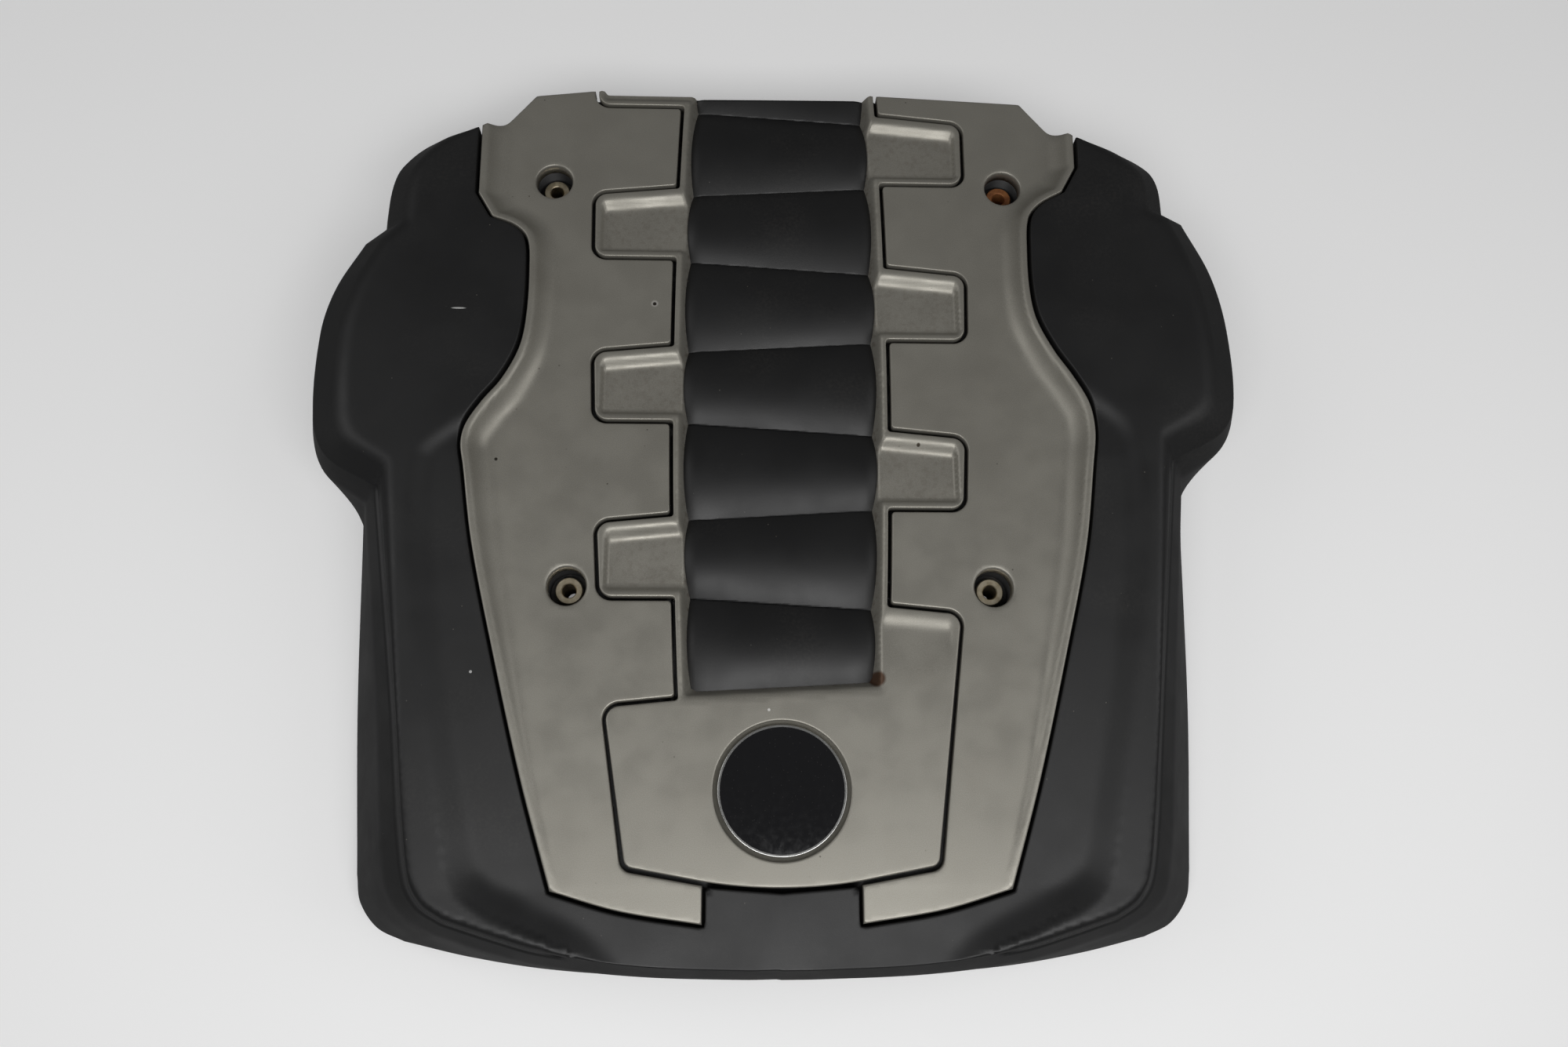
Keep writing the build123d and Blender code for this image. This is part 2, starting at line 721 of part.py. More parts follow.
# Silver side mouldings: shells with flange walls that stand on the deck
for side, name in ((-1, "left_trim"), (1, "right_trim")):
    holes = [(x, y) for x, y in mounts.values() if x * side > 0]
    with BuildPart() as side_trim:
        add(side_block(side, 0))
        add(side_block(side, trim_wall), mode=Mode.SUBTRACT)
        with BuildSketch(Plane.XY.offset(deck_z)):
            with Locations(*holes):
                Circle(hole_radius + collar_wall)
        extrude(amount=deck_drop)
        with BuildSketch(Plane.XY.offset(deck_z)):
            with Locations(*holes):
                Circle(hole_radius)
        extrude(amount=deck_drop, mode=Mode.SUBTRACT)
        add(pegs([(side * x, y) for x, y in side_pegs], plate_z - trim_wall / 2))
    side_trim.part.label = name
    export_step(side_trim.part, f"parts/{name}.step")

# Bright tray of the badge with two locating pins
badge_floor = plate_z - badge_seat_depth
with BuildPart() as badge_bezel:
    with BuildSketch(Plane.XY.offset(badge_floor)):
        with Locations((0, badge_y)):
            Circle(badge_radius)
    extrude(amount=bezel_height)
    fillet(badge_bezel.edges().group_by(Axis.Z)[-1], bezel_wall / 3)
    with BuildSketch(Plane.XY.offset(badge_floor + bezel_wall)):
        with Locations((0, badge_y)):
            Circle(badge_radius - bezel_wall)
    extrude(amount=bezel_height, mode=Mode.SUBTRACT)
    with BuildSketch(Plane.XY.offset(badge_floor)):
        with Locations((0, badge_y)):
            with GridLocations(badge_pin_spacing, 0, 2, 1):
                Circle(badge_pin_radius)
    extrude(amount=-badge_pin_length)
badge_bezel.part.label = "badge_bezel"
export_step(badge_bezel.part, "parts/badge_bezel.step")

# Plain domed disc inside the bezel
face_radius = badge_radius - bezel_wall - slip
face_bottom = badge_floor + bezel_wall
face_edge = badge_floor + bezel_height - face_step
with BuildPart() as badge_face:
    with BuildSketch(Plane(origin=(0, badge_y, 0), x_dir=(1, 0, 0), z_dir=(0, -1, 0))):
        with BuildLine():
            Polyline((0, face_edge + face_crown), (0, face_bottom), (face_radius, face_bottom),
                     (face_radius, face_edge))
            TangentArc((0, face_edge + face_crown), (face_radius, face_edge), tangent=(1, 0))
        make_face()
    revolve(axis=Axis((0, badge_y, 0), (0, 0, 1)))
badge_face.part.label = "badge_face"
export_step(badge_face.part, "parts/badge_face.step")

for place, (x, y) in mounts.items():
    # Metal spacer tube that the mounting screw passes through
    with BuildPart() as sleeve:
        with BuildSketch(Plane.XY.offset(plate_z - sleeve_drop)):
            with Locations((x, y)):
                Circle(sleeve_radius)
                Circle(sleeve_bore, mode=Mode.SUBTRACT)
        extrude(amount=-sleeve_length)
        chamfer(sleeve.edges().group_by(Axis.Z)[-1], sleeve_chamfer)
    sleeve.part.label = f"sleeve_{place}"
    export_step(sleeve.part, f"parts/sleeve_{place}.step")

    # Rubber mount: a neck in the flange of the well with a collar above and below
    levels = [(flange_top + grommet_upper, flange_top, hole_radius),
              (flange_top, flange_bottom, neck_radius - slip),
              (flange_bottom, flange_bottom - grommet_lower, grommet_lower_radius)]
    with BuildPart() as grommet:
        for high, low, radius in levels:
            with BuildSketch(Plane.XY.offset(low)):
                with Locations((x, y)):
                    Circle(radius)
                    Circle(sleeve_radius + slip, mode=Mode.SUBTRACT)
            extrude(amount=high - low)
    grommet.part.label = f"grommet_{place}"
    export_step(grommet.part, f"parts/grommet_{place}.step")

clip_groups = {
    "centre_trim_clips": plate_pegs + tab_pegs,
    "left_trim_clips": [(-x, y) for x, y in side_pegs],
    "right_trim_clips": side_pegs,
}
for name, places in clip_groups.items():
    with BuildPart() as clip_group:
        add(clips(places))
    clip_group.part.label = name
    export_step(clip_group.part, f"parts/{name}.step")
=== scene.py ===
import bmesh
import bpy
import numpy as np
from mathutils import Matrix, Vector
from mathutils.geometry import delaunay_2d_cdt


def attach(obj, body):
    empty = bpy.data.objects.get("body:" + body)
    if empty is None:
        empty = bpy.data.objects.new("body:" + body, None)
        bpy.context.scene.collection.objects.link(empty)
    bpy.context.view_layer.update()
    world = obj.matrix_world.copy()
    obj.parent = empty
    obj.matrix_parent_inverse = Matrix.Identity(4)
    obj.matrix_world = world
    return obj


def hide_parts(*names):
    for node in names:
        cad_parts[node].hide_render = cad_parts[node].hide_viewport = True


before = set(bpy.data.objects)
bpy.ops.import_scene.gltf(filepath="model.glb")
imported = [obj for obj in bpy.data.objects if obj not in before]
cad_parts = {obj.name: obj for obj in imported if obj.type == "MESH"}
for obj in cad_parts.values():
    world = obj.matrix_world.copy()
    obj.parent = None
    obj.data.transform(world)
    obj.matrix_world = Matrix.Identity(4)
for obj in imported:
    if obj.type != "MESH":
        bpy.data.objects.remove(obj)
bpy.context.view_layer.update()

# Engine cover. Outlines and heights are in millimetres, in the frame of the CAD model.
MM = 0.001

# Camera at the photograph's viewing angle
PHOTO_WIDTH = 2000
SENSOR = 36.0
FOCAL_PX = 1573.36
CAMERA_AT = Vector((-22.66, -194.0, 711.14)) * MM
TURNS = (("X", -0.27485), ("Y", -0.03697), ("Z", -0.004537))

# Levels and walls
PLATE_Z = 80.0
DECK_Z = 72.0
TRIM_BASE_Z = DECK_Z + 0.2
TOP_Z = 92.0
FRONT_Z = 84.0
CREASE_Z = 78.0
WAIST_Z = 60.0
RIM_HEIGHT = 14.0
WALL = 3.0
TRIM_WALL = 2.4

# Raised lip, which falls to nothing towards the front corner, and the tray that sweeps up to it
LIP_RISE = 10.0
LIP_FALL_Y = 20.0
FRONT_CORNER_Y = -203.0
LIP_WIDTH = 3.2
LIP_ROUND = 0.35
SWEEP_RUN = 12.5
SWEEP_FRONT_RUN = 1.0
SWEEP_GROWTH = 175

# Rounded edges: radii, and blends between two surfaces
EDGE_RADIUS = 0.9
HOLE_EDGE = 1.6
SEAT_EDGE = 0.7
WALL_ROUND = 1.4
POCKET_ROUND = 1.0
TOP_ROUND = 1.5
BANK_ROUND = 1.2

# Silver frame: the spine beside the ribs, the tabs on it, and the plate with the badge
REAR_Y = 247.0
GROOVE = 2.0
SEAM = 1.6
SEAM_REAR_Y = 214.8
SPINE = ((258.0, 55.8), (60.0, 59.7), (-118.0, 53.6))
TAB_REAR_Y = 207.6
TAB_PITCH = 98.0
BANK_LEAD = 24.5
TAB_LENGTH = 44.1
LAST_TAB = 3
TAB_LEAN = 0.1
TAB_LEAN_X = 75
TAB_CORNER = 8.0
INNER_CORNER = 1.8
PLATE_SIDE = (78.9, -192.6)
PLATE_CORNER = 6.0
NOSE_Y = -203.0
NOSE_SIDE_Y = -199.8
LEG_X = 39.6
BADGE_Y = -154.9
SEAT_RADIUS = 34.8
SEAT_DEPTH = 3.0
SEAT_HOLE_RADIUS = 16
SEAT_POINTS = 128

# How far out the tabs reach at y 0, and its slope and bend for each 100 mm
TAB_END_X = 99.6
TAB_END_SLOPE = 5.9
TAB_END_BEND = 1.2

# Recesses in the tabs, and the shallow hollow that replaces the last one on the right
POCKET_DEPTH = 4.5
POCKET_LIP = 2.6
POCKET_REAR_RUN = 8.0
POCKET_FRONT_RUN = 3.6
POCKET_END_RUN = 2.6
SHALLOW_DEPTH = 1.4
SHALLOW_SHARE = 0.8

# Opening for the ribs, with walls that slope down to them
STRIP = 3.4
WALL_RUN = 5.8
WALL_DROP = 11.0
WALL_REACH = 9.0
OPENING_FRONT_Y = -106.0
OPENING_SLANT = 2.6 / 50.0
FOOT_GAP = 0.7

# Ribs
RIB_PITCH = 49.0
FIRST_CREASE_Y = 235.8
CREASE_BOTTOM_Z = 67.5
RIB_HEIGHT = 6.0
CREASE_LEAN = 3.3 / 50.5
RIB_HALF = 56.0
RIB_PLAY = 0.3
RIB_END_GAP = 3.0
RIB_ROLL = 2.6
RIB_ROLL_RUN = 7.0
SLOT_HALF = 58.0
SLOT_FRONT_Y = -112.0

# Black side panels: the edge of the top, and the crease pressed in along them.
# The corner is a point of the outlines below, and the span counts points from it.
FRONT_Y = -248.0
REAR_CORNER = 3
EDGE_FALL = 4.2
EDGE_RISE = 0.3
EDGE_REACH = (0.5, 12)
CREASE_DEPTH = 3.0
CREASE_WIDTH = 1.8
CREASE_SPAN = (10, 17)
CREASE_FADE = 6
CLIMB_SHARE = 0.4
DECK_CLIMB = 9
DENT_AIM = 0.9
DENT_AT = 0.3
PANEL_CENTRE = (0, 30.0)
SKIRT_BENDS = (3.0, 3.5)
REAR_WALL_LEVELS = (0.0, RIM_HEIGHT, 36.0, WAIST_Z, DECK_Z)

# Points measured at a time, so that a table of distances stays small
CHUNK = 4000

# Spacing of mesh points: along edges, in rows beside them, and in the grid between
CORNER_STEP = 1.0
EDGE_STEP = 1.6
LIP_STEP = 2.0
SKIRT_STEP = 2.6
WALL_STEP = 3.0
NOSE_STEP = 3.6
SPINE_STEP = 8
EDGE_ROWS = (0.25, 0.6, 1.1)
TOP_ROWS = (*EDGE_ROWS, 1.8)
FRAME_GRID = 1.6
TRAY_GRID = 1.7
TOP_GRID = 2.2
DECK_GRID = 6.0
RIB_STEP = 0.9
RIB_MIDDLE = 44
RIB_MIDDLE_COLUMN = 5.5
RIB_END_COLUMN = 2.0
BEND_STEPS = 3
BEND_SHARE = 0.45
PEG_HOLE_POINTS = 20
WELD = 0.02

# Marks of wear on the top: x, y, radius and stretch or colour
PLASTIC_MARKS = [(-175.3, 101.2, 4.6, (1, 8)), (-158.0, -96.0, 0.9, (1, 1))]
PAINT_MARKS = [
    (-70.1, 111.0, 2.4, (0.5, 0.48, 0.44, 1)), (-70.1, 110.8, 1.3, (0.03, 0.025, 0.02, 1)),
    (-6.6, -114.7, 0.9, (0.7, 0.69, 0.66, 1)), (-152.6, 18.9, 1.1, (0.03, 0.025, 0.02, 1)),
    (75.1, 29.4, 1.2, (0.04, 0.03, 0.02, 1)), (49.5, -98.5, 5.0, (0.09, 0.05, 0.03, 1)),
]

# Mountings and moulded pegs
MOUNTS = [(-129.2, 186.7), (129.2, 186.7), (-112.3, -50.4), (112.3, -50.4)]
HOLE_RADIUS = 10.25
WELL_RADIUS = 10.45
NECK_RADIUS = 8.6
FLANGE_Z = 51.0
SIDE_PEGS = [(145, 205), (118, 110), (135, 20), (112, -110), (62, -207)]
FRAME_PEGS = [(-62, -170), (62, -170), (-80, 161), (-80, -35), (80, 210), (80, 14)]
PEG_RADIUS = 2.5
PEG_HOLE_RADIUS = PEG_RADIUS + 0.2
PEG_END_Z = 60.6
PEG_BURY = 1

# Outlines from the middle of the rear edge down the right side: x, y, lead share, corner
RIM = [
    (0, 248, 0, 0), (142, 243.5, 0, 1), (158, 226, 0, 0), (176, 218, 0, 1), (202, 213, 0, 0),
    (221, 200, 0.2, 0), (227, 186, 0.4, 0), (228, 163, 0.6, 1), (235, 152, 0.8, 1),
    (249, 126, 0.6, 0), (254, 95, 0.3, 0), (253, 47, 0.5, 0), (247, 24, 0.7, 0), (240, 8, 0.7, 1),
    (234.4, -105, 0, 0), (226.8, -195, 0, 1), (224, -209, 0, 0), (214, -222, 0, 0),
    (199, -229, 0, 1), (164, -237, 0, 0), (122, -243.5, 0, 0), (73, -247, 0, 0), (20, -248, 0, 0),
]
WAIST = [
    (0, 248, 0, 0), (142, 243.5, 0, 1), (158, 226, 0, 0), (176, 218, 0, 1), (202, 213, 0, 0),
    (221, 200, 0.2, 0), (227, 186, 0.4, 0), (228, 163, 0.6, 1), (239, 158, 0.8, 1),
    (253, 127, 0.6, 0), (259, 95, 0.3, 0), (258, 47, 0.5, 0), (250, 26, 0.7, 0), (226, 9, 0.7, 1),
    (211, -108, 0, 0), (203, -180, 0, 1), (197, -205, 0, 0), (188, -215.5, 0, 0),
    (172, -224, 0, 1), (146, -232, 0, 0), (120, -238.5, 0, 0), (73, -244, 0, 0), (20, -246, 0, 0),
]
CREASE = [
    (0, 248, 0, 0), (142, 243.5, 0, 1), (158, 226, 0, 0), (174, 217, 0, 1), (199, 211, 0, 0),
    (216, 198, 0.2, 0), (221, 185, 0.4, 0), (222, 163, 0.6, 1), (233, 156, 0.8, 1),
    (247, 126, 0.6, 0), (253, 95, 0.3, 0), (252, 47, 0.5, 0), (243, 29, 0.7, 0),
    (215, 13, 0.75, 1), (197, -110, 0, 0), (189.5, -165, 0, 1), (183.5, -198, 0, 0),
    (176.7, -209.7, 0, 0), (165.5, -217, 0, 1), (139.7, -225.2, 0, 0), (118.8, -231, 0, 0),
    (73, -238, 0, 0), (20, -240.5, 0, 0),
]
CROWN = [
    (0, 248, 0, 0), (142, 243.5, 0, 1), (158, 226, 0, 0), (171, 215, 0, 1), (189, 206, 0, 0),
    (202, 193, 0.2, 0), (206, 182, 0.4, 0), (207, 163, 0.6, 1), (217, 154, 0.8, 1),
    (229, 124, 0.6, 0), (235, 93, 0.3, 0), (234, 50, 0.5, 0), (228, 36, 0.7, 0),
    (209, 24, 0.75, 1), (193, -108, 0, 0), (186, -162, 0, 1), (180, -195, 0, 0),
    (173, -205, 0, 0), (162, -213, 0, 1), (137, -221, 0, 0), (116, -227, 0, 0),
    (73, -234, 0, 0), (20, -236.5, 0, 0),
]
SILVER = [
    (0, 247, 0, 0), (142, 243, 0, 1), (151, 232, 0, 0), (159, 223, 0, 0), (170, 216.5, 0, 1),
    (169.5, 184, 0.9, 1), (161, 169, 0.85, 1), (148, 162.5, 0.75, 0), (141, 154, 0.7, 0),
    (139, 134, 0.6, 0), (139.2, 108, 0.7, 0), (142, 90, 0.8, 0), (150.5, 71.5, 0.8, 0),
    (160.5, 57, 0.7, 0), (168, 43, 0.6, 0), (170, 30, 0.4, 0), (168, 15, 0.2, 0),
    (161.3, -29, 0, 0), (147.5, -86, 0, 0), (130.5, -150, 0, 0), (114, -203, 0, 1),
    (80, -212.6, 0, 0), (39.6, -219, 0, 1), (39.6, -199.8, 0, 1), (0, -203, 0, 0),
]
# Stretches of the silver outline: the whole side, its raised lip and the seam with the black
SILVER_SIDE = slice(1, 23)
SILVER_LIP = slice(4, 21)
SILVER_SEAM = slice(4, None)

# Side channel: the upper edge of its bank, the width of the bank, and its floor
CHANNEL = [
    (120, 84, 0.8, 1), (146, 84, 0.8, 0), (170, 60, 0.75, 0), (192, 40, 0.7, 0),
    (199, 25, 0.5, 0), (197, -32, 0, 0), (182, -113, 0, 0), (169, -171, 0, 0), (162, -199, 0, 0),
    (150, -211, 0, 0), (126, -222, 0, 0), (97, -236, 0, 0), (70, -262, 0, 1),
]
CHANNEL_BANK = 11.0
CHANNEL_DROP = 1.0
CHANNEL_DEPTH = 4.0
CHANNEL_MARGIN = 3


def camera():
    """Camera solved from the flat silver top, with the image centre on its axis."""
    data = bpy.data.cameras.new("photo_camera")
    data.sensor_width = SENSOR
    data.lens = FOCAL_PX * SENSOR / PHOTO_WIDTH
    eye = bpy.data.objects.new("photo_camera", data)
    bpy.context.scene.collection.objects.link(eye)
    facing = Matrix.Diagonal((1, -1, -1))
    for axis, turn in TURNS:
        facing = facing @ Matrix.Rotation(turn, 3, axis)
    facing = facing @ Matrix.Diagonal((1, -1, -1))
    eye.matrix_world = Matrix.Translation(CAMERA_AT) @ facing.transposed().to_4x4()
    bpy.context.scene.camera = eye


def smooth(t):
    """Smooth step from 0 to 1."""
    t = np.clip(t, 0, 1)
    return t * t * (3 - 2 * t)


def soft_min(a, b, radius):
    """Lower of two heights, with a rounded edge where they meet."""
    h = np.clip(0.5 + 0.5 * (b - a) / radius, 0, 1)
    return b + (a - b) * h - radius * h * (1 - h)


def one_side(half, side):
    """Half outline of one side as an array of x, y and corner flags."""
    return np.array([(side * x, y + side * share * BANK_LEAD / 2, corner)
                     for x, y, share, corner in half], float)


def curve(points, counts):
    """Smooth curve through points, with a given number of steps in each interval."""
    out = []
    last = len(points) - 1
    for i in range(last):
        a, b = points[i], points[i + 1]
        before = points[i - 1] if i > 0 else 2 * a - b
        after = points[i + 2] if i + 2 <= last else 2 * b - a
        span = np.linalg.norm(b - a)
        ta = (b - before) * span / (span + np.linalg.norm(a - before))
        tb = (after - a) * span / (span + np.linalg.norm(after - b))
        for k in range(counts[i]):
            t = k / counts[i]
            out.append((2 * t**3 - 3 * t**2 + 1) * a + (t**3 - 2 * t**2 + t) * ta
                       + (3 * t**2 - 2 * t**3) * b + (t**3 - t**2) * tb)
    out.append(points[-1])
    return np.array(out)


def path(points, corners, counts):
    """Curves between corners, joined to one line of points."""
    stops = [0] + [i for i in range(1, len(points) - 1) if corners[i]] + [len(points) - 1]
    out = []
    for a, b in zip(stops, stops[1:]):
        piece = curve(points[a:b + 1], counts[a:b])
        out.append(piece if b == stops[-1] else piece[:-1])
    return np.vstack(out)


def steps_of(points, step):
    """Number of steps for each interval between points."""
    lengths = np.linalg.norm(np.diff(points, axis=0), axis=1)
    return [max(1, int(np.ceil(length / step))) for length in lengths]


def half_path(half, side, step, part=slice(None)):
    """Points along part of a half outline."""
    rows = one_side(half, side)[part]
    return path(rows[:, :2], rows[:, 2], steps_of(rows[:, :2], step))


def rounded(points):
    """Line through (x, y, radius) points with each corner filleted."""
    out = []
    for i, (x, y, radius) in enumerate(points):
        here = np.array((x, y), float)
        if radius <= 0 or i in (0, len(points) - 1):
            out.append(here)
            continue
        a = np.array(points[i - 1][:2], float) - here
        b = np.array(points[i + 1][:2], float) - here
        a /= np.linalg.norm(a)
        b /= np.linalg.norm(b)
        half = np.arccos(np.clip(a @ b, -1, 1)) / 2
        reach = radius / np.tan(half)
        middle = here + (a + b) / np.linalg.norm(a + b) * radius / np.sin(half)
        first, last = here + a * reach - middle, here + b * reach - middle
        turn = np.pi - 2 * half
        sign = np.sign(first[0] * last[1] - first[1] * last[0])
        count = max(3, int(turn * radius / CORNER_STEP) + 1)
        for k in range(count + 1):
            angle = sign * turn * k / count
            c, s = np.cos(angle), np.sin(angle)
            out.append(middle + (c * first[0] - s * first[1], s * first[0] + c * first[1]))
    return np.array(out)


def divided(points, step):
    """Points with long straight stretches divided."""
    out = [points[0]]
    for a, b in zip(points, points[1:]):
        count = max(1, int(np.ceil(np.linalg.norm(b - a) / step)))
        out += [a + (b - a) * k / count for k in range(1, count + 1)]
    return np.array(out)


def between(a, b):
    """Points along the straight edge between two others."""
    return divided(np.array((a, b)), EDGE_STEP)[1:-1]


def distance(points, line):
    """Distance from each point to an open line of points."""
    out = np.full(len(points), 1e9)
    a, b = line[:-1], line[1:]
    ab = b - a
    size = np.maximum((ab ** 2).sum(1), 1e-12)
    for start in range(0, len(points), CHUNK):
        p = points[start:start + CHUNK]
        ap = p[:, None, :] - a[None]
        t = np.clip((ap * ab[None]).sum(2) / size, 0, 1)
        gap = ap - t[..., None] * ab[None]
        out[start:start + CHUNK] = np.sqrt((gap ** 2).sum(2).min(1))
    return out


def inside(points, loop):
    """Whether each point lies inside a closed loop."""
    out = np.zeros(len(points), bool)
    for a, b in zip(loop, np.roll(loop, -1, axis=0)):
        crosses = (a[1] > points[:, 1]) != (b[1] > points[:, 1])
        if a[1] != b[1]:
            x = a[0] + (points[:, 1] - a[1]) / (b[1] - a[1]) * (b[0] - a[0])
            out ^= crosses & (points[:, 0] < x)
    return out


def closed(loop):
    """Loop with its first point repeated at its end."""
    return np.vstack((loop, loop[:1]))


def flat_mesh(loops, grid, edge_rows=()):
    """Triangles of a plan region inside the first loop and outside the others.

    The points are the loops, rows of points beside them and a grid between."""
    xs = np.arange(loops[0][:, 0].min() + grid / 2, loops[0][:, 0].max(), grid)
    ys = np.arange(loops[0][:, 1].min() + grid / 2, loops[0][:, 1].max(), grid)
    cells = np.array(np.meshgrid(xs, ys)).reshape(2, -1).T
    cells[:, 0] += np.where((np.round(cells[:, 1] / grid) % 2) > 0, grid / 4, -grid / 4)

    def within(points):
        mask = inside(points, loops[0])
        for hole in loops[1:]:
            mask &= ~inside(points, hole)
        return points[mask]

    cells = within(cells)
    near = np.min([distance(cells, closed(loop)) for loop in loops], axis=0)
    cells = cells[near > max(edge_rows, default=0) + grid * 0.45]
    rows = []
    for row in edge_rows:
        for loop in loops:
            ahead = np.roll(loop, -1, axis=0) - np.roll(loop, 1, axis=0)
            normal = np.stack((-ahead[:, 1], ahead[:, 0]), 1)
            normal /= np.maximum(np.linalg.norm(normal, axis=1), 1e-9)[:, None]
            for sign in (-1, 1):
                moved = within(loop + sign * row * normal)
                if len(moved):
                    gap = np.min([distance(moved, closed(other)) for other in loops], axis=0)
                    rows.append(moved[gap > row * 0.93])
    points = np.vstack([*loops, *rows, cells])
    edges = []
    start = 0
    for loop in loops:
        count = len(loop)
        edges += [(start + i, start + (i + 1) % count) for i in range(count)]
        start += count
    verts, _, faces, *_ = delaunay_2d_cdt([Vector(p) for p in points], edges, [], 0, 1e-4)
    verts = np.array([tuple(v) for v in verts])
    faces = np.array([face for face in faces if len(face) == 3])
    middle = verts[faces].mean(axis=1)
    mask = inside(middle, loops[0])
    for hole in loops[1:]:
        mask &= ~inside(middle, hole)
    return verts, faces[mask]


class Sheet:
    """Surface gathered from patches that share their border points."""

    def __init__(self):
        self.points, self.faces, self.count = [], [], 0

    def patch(self, points, faces):
        self.points.append(np.asarray(points, float))
        self.faces += [tuple(int(i) + self.count for i in face) for face in faces]
        self.count += len(points)

    def strip(self, upper, lower, around=False):
        """Quads between two rows of as many points."""
        count = len(upper)
        last = count if around else count - 1
        self.patch(np.vstack((upper, lower)),
                   [(i, (i + 1) % count, count + (i + 1) % count, count + i) for i in range(last)])

    def rows(self, rows, around=False):
        for upper, lower in zip(rows, rows[1:]):
            self.strip(upper, lower, around)

    def piece(self, name):
        """Object with the gathered patches welded, and its faces turned to point out."""
        mesh = bpy.data.meshes.new(name)
        mesh.from_pydata((np.vstack(self.points) * MM).tolist(), [], self.faces)
        build = bmesh.new()
        build.from_mesh(mesh)
        bmesh.ops.remove_doubles(build, verts=build.verts, dist=WELD * MM)
        bmesh.ops.dissolve_degenerate(build, edges=build.edges, dist=1e-7)
        bmesh.ops.recalc_face_normals(build, faces=build.faces)
        top = max(build.faces, key=lambda face: face.calc_center_median().z)
        if top.normal.z < 0:
            bmesh.ops.reverse_faces(build, faces=build.faces)
        build.to_mesh(mesh)
        build.free()
        mesh.shade_smooth()
        piece = bpy.data.objects.new(name, mesh)
        bpy.context.scene.collection.objects.link(piece)
        return piece


def with_height(points, heights):
    return np.column_stack((points, heights))


def level(points, z):
    """Points of a plan at one height."""
    return with_height(points, np.full(len(points), z))


def spine_x(y):
    """Half width of the silver frame between its tabs."""
    (ya, xa), (yb, xb), (yc, xc) = SPINE
    return (xa * (y - yb) * (y - yc) / ((ya - yb) * (ya - yc))
            + xb * (y - ya) * (y - yc) / ((yb - ya) * (yb - yc))
            + xc * (y - ya) * (y - yb) / ((yc - ya) * (yc - yb)))


def tab_end_x(y):
    """How far out the tabs reach, which changes a little along the cover."""
    return TAB_END_X + TAB_END_SLOPE * y / 100 - TAB_END_BEND * (y / 100) ** 2


def tab_rear(side, index):
    return TAB_REAR_Y + side * BANK_LEAD - TAB_PITCH * index


def tab_edge_y(side, index, x):
    """Rear edge of a tab, which leans."""
    return tab_rear(side, index) - TAB_LEAN * (abs(x) - TAB_LEAN_X)


def frame_side(side, grow):
    """Edge of the silver frame on one side, from the rear down to the nose."""
    points = []
    first = -1 if tab_rear(side, -1) - TAB_LENGTH < REAR_Y else 0
    if first < 0:
        points.append((tab_end_x(REAR_Y) + grow, REAR_Y, 0))
    else:
        points.append((spine_x(REAR_Y) + grow, REAR_Y, 0))
    for index in range(first, LAST_TAB + 1):
        rear = tab_rear(side, index)
        if rear < REAR_Y:
            inner = spine_x(rear) + grow
            points.append((inner, tab_edge_y(side, index, inner) + grow, INNER_CORNER))
            outer = tab_end_x(rear) + grow
            points.append((outer, tab_edge_y(side, index, outer) + grow, TAB_CORNER + grow))
        if index == LAST_TAB:
            break
        front = rear - TAB_LENGTH
        points.append((tab_end_x(front) + grow, front - grow, TAB_CORNER + grow))
        points.append((spine_x(front) + grow, front - grow, INNER_CORNER))
        following = tab_rear(side, index + 1)
        for y in np.arange(front - SPINE_STEP, following + SPINE_STEP, -SPINE_STEP):
            points.append((spine_x(y) + grow, y, 0))
    points.append((PLATE_SIDE[0] + grow, PLATE_SIDE[1] - grow, PLATE_CORNER + grow))
    points.append((LEG_X, NOSE_SIDE_Y - grow, 0))
    line = rounded(points)
    nose = [(x, NOSE_Y + (NOSE_SIDE_Y - NOSE_Y) * (x / LEG_X) ** 2 - grow)
            for x in np.arange(LEG_X - NOSE_STEP, -0.1, -NOSE_STEP)]
    line = np.vstack((line, nose))
    line[:, 0] *= side
    return divided(line, EDGE_STEP)


def lip_rise(y):
    return LIP_RISE * np.clip((y - FRONT_CORNER_Y) / (LIP_FALL_Y - FRONT_CORNER_Y), 0, 1)


def edge_round(d, radius):
    """Drop of a rounded edge at a distance from the edge."""
    t = np.clip(1 - d / radius, 0, 1)
    return radius * (1 - np.sqrt(1 - t * t))


def ring_of(x, y, radius, count=48):
    """Points round a circle."""
    turn = np.arange(count) * 2 * np.pi / count
    return np.column_stack((x + radius * np.cos(turn), y + radius * np.sin(turn)))


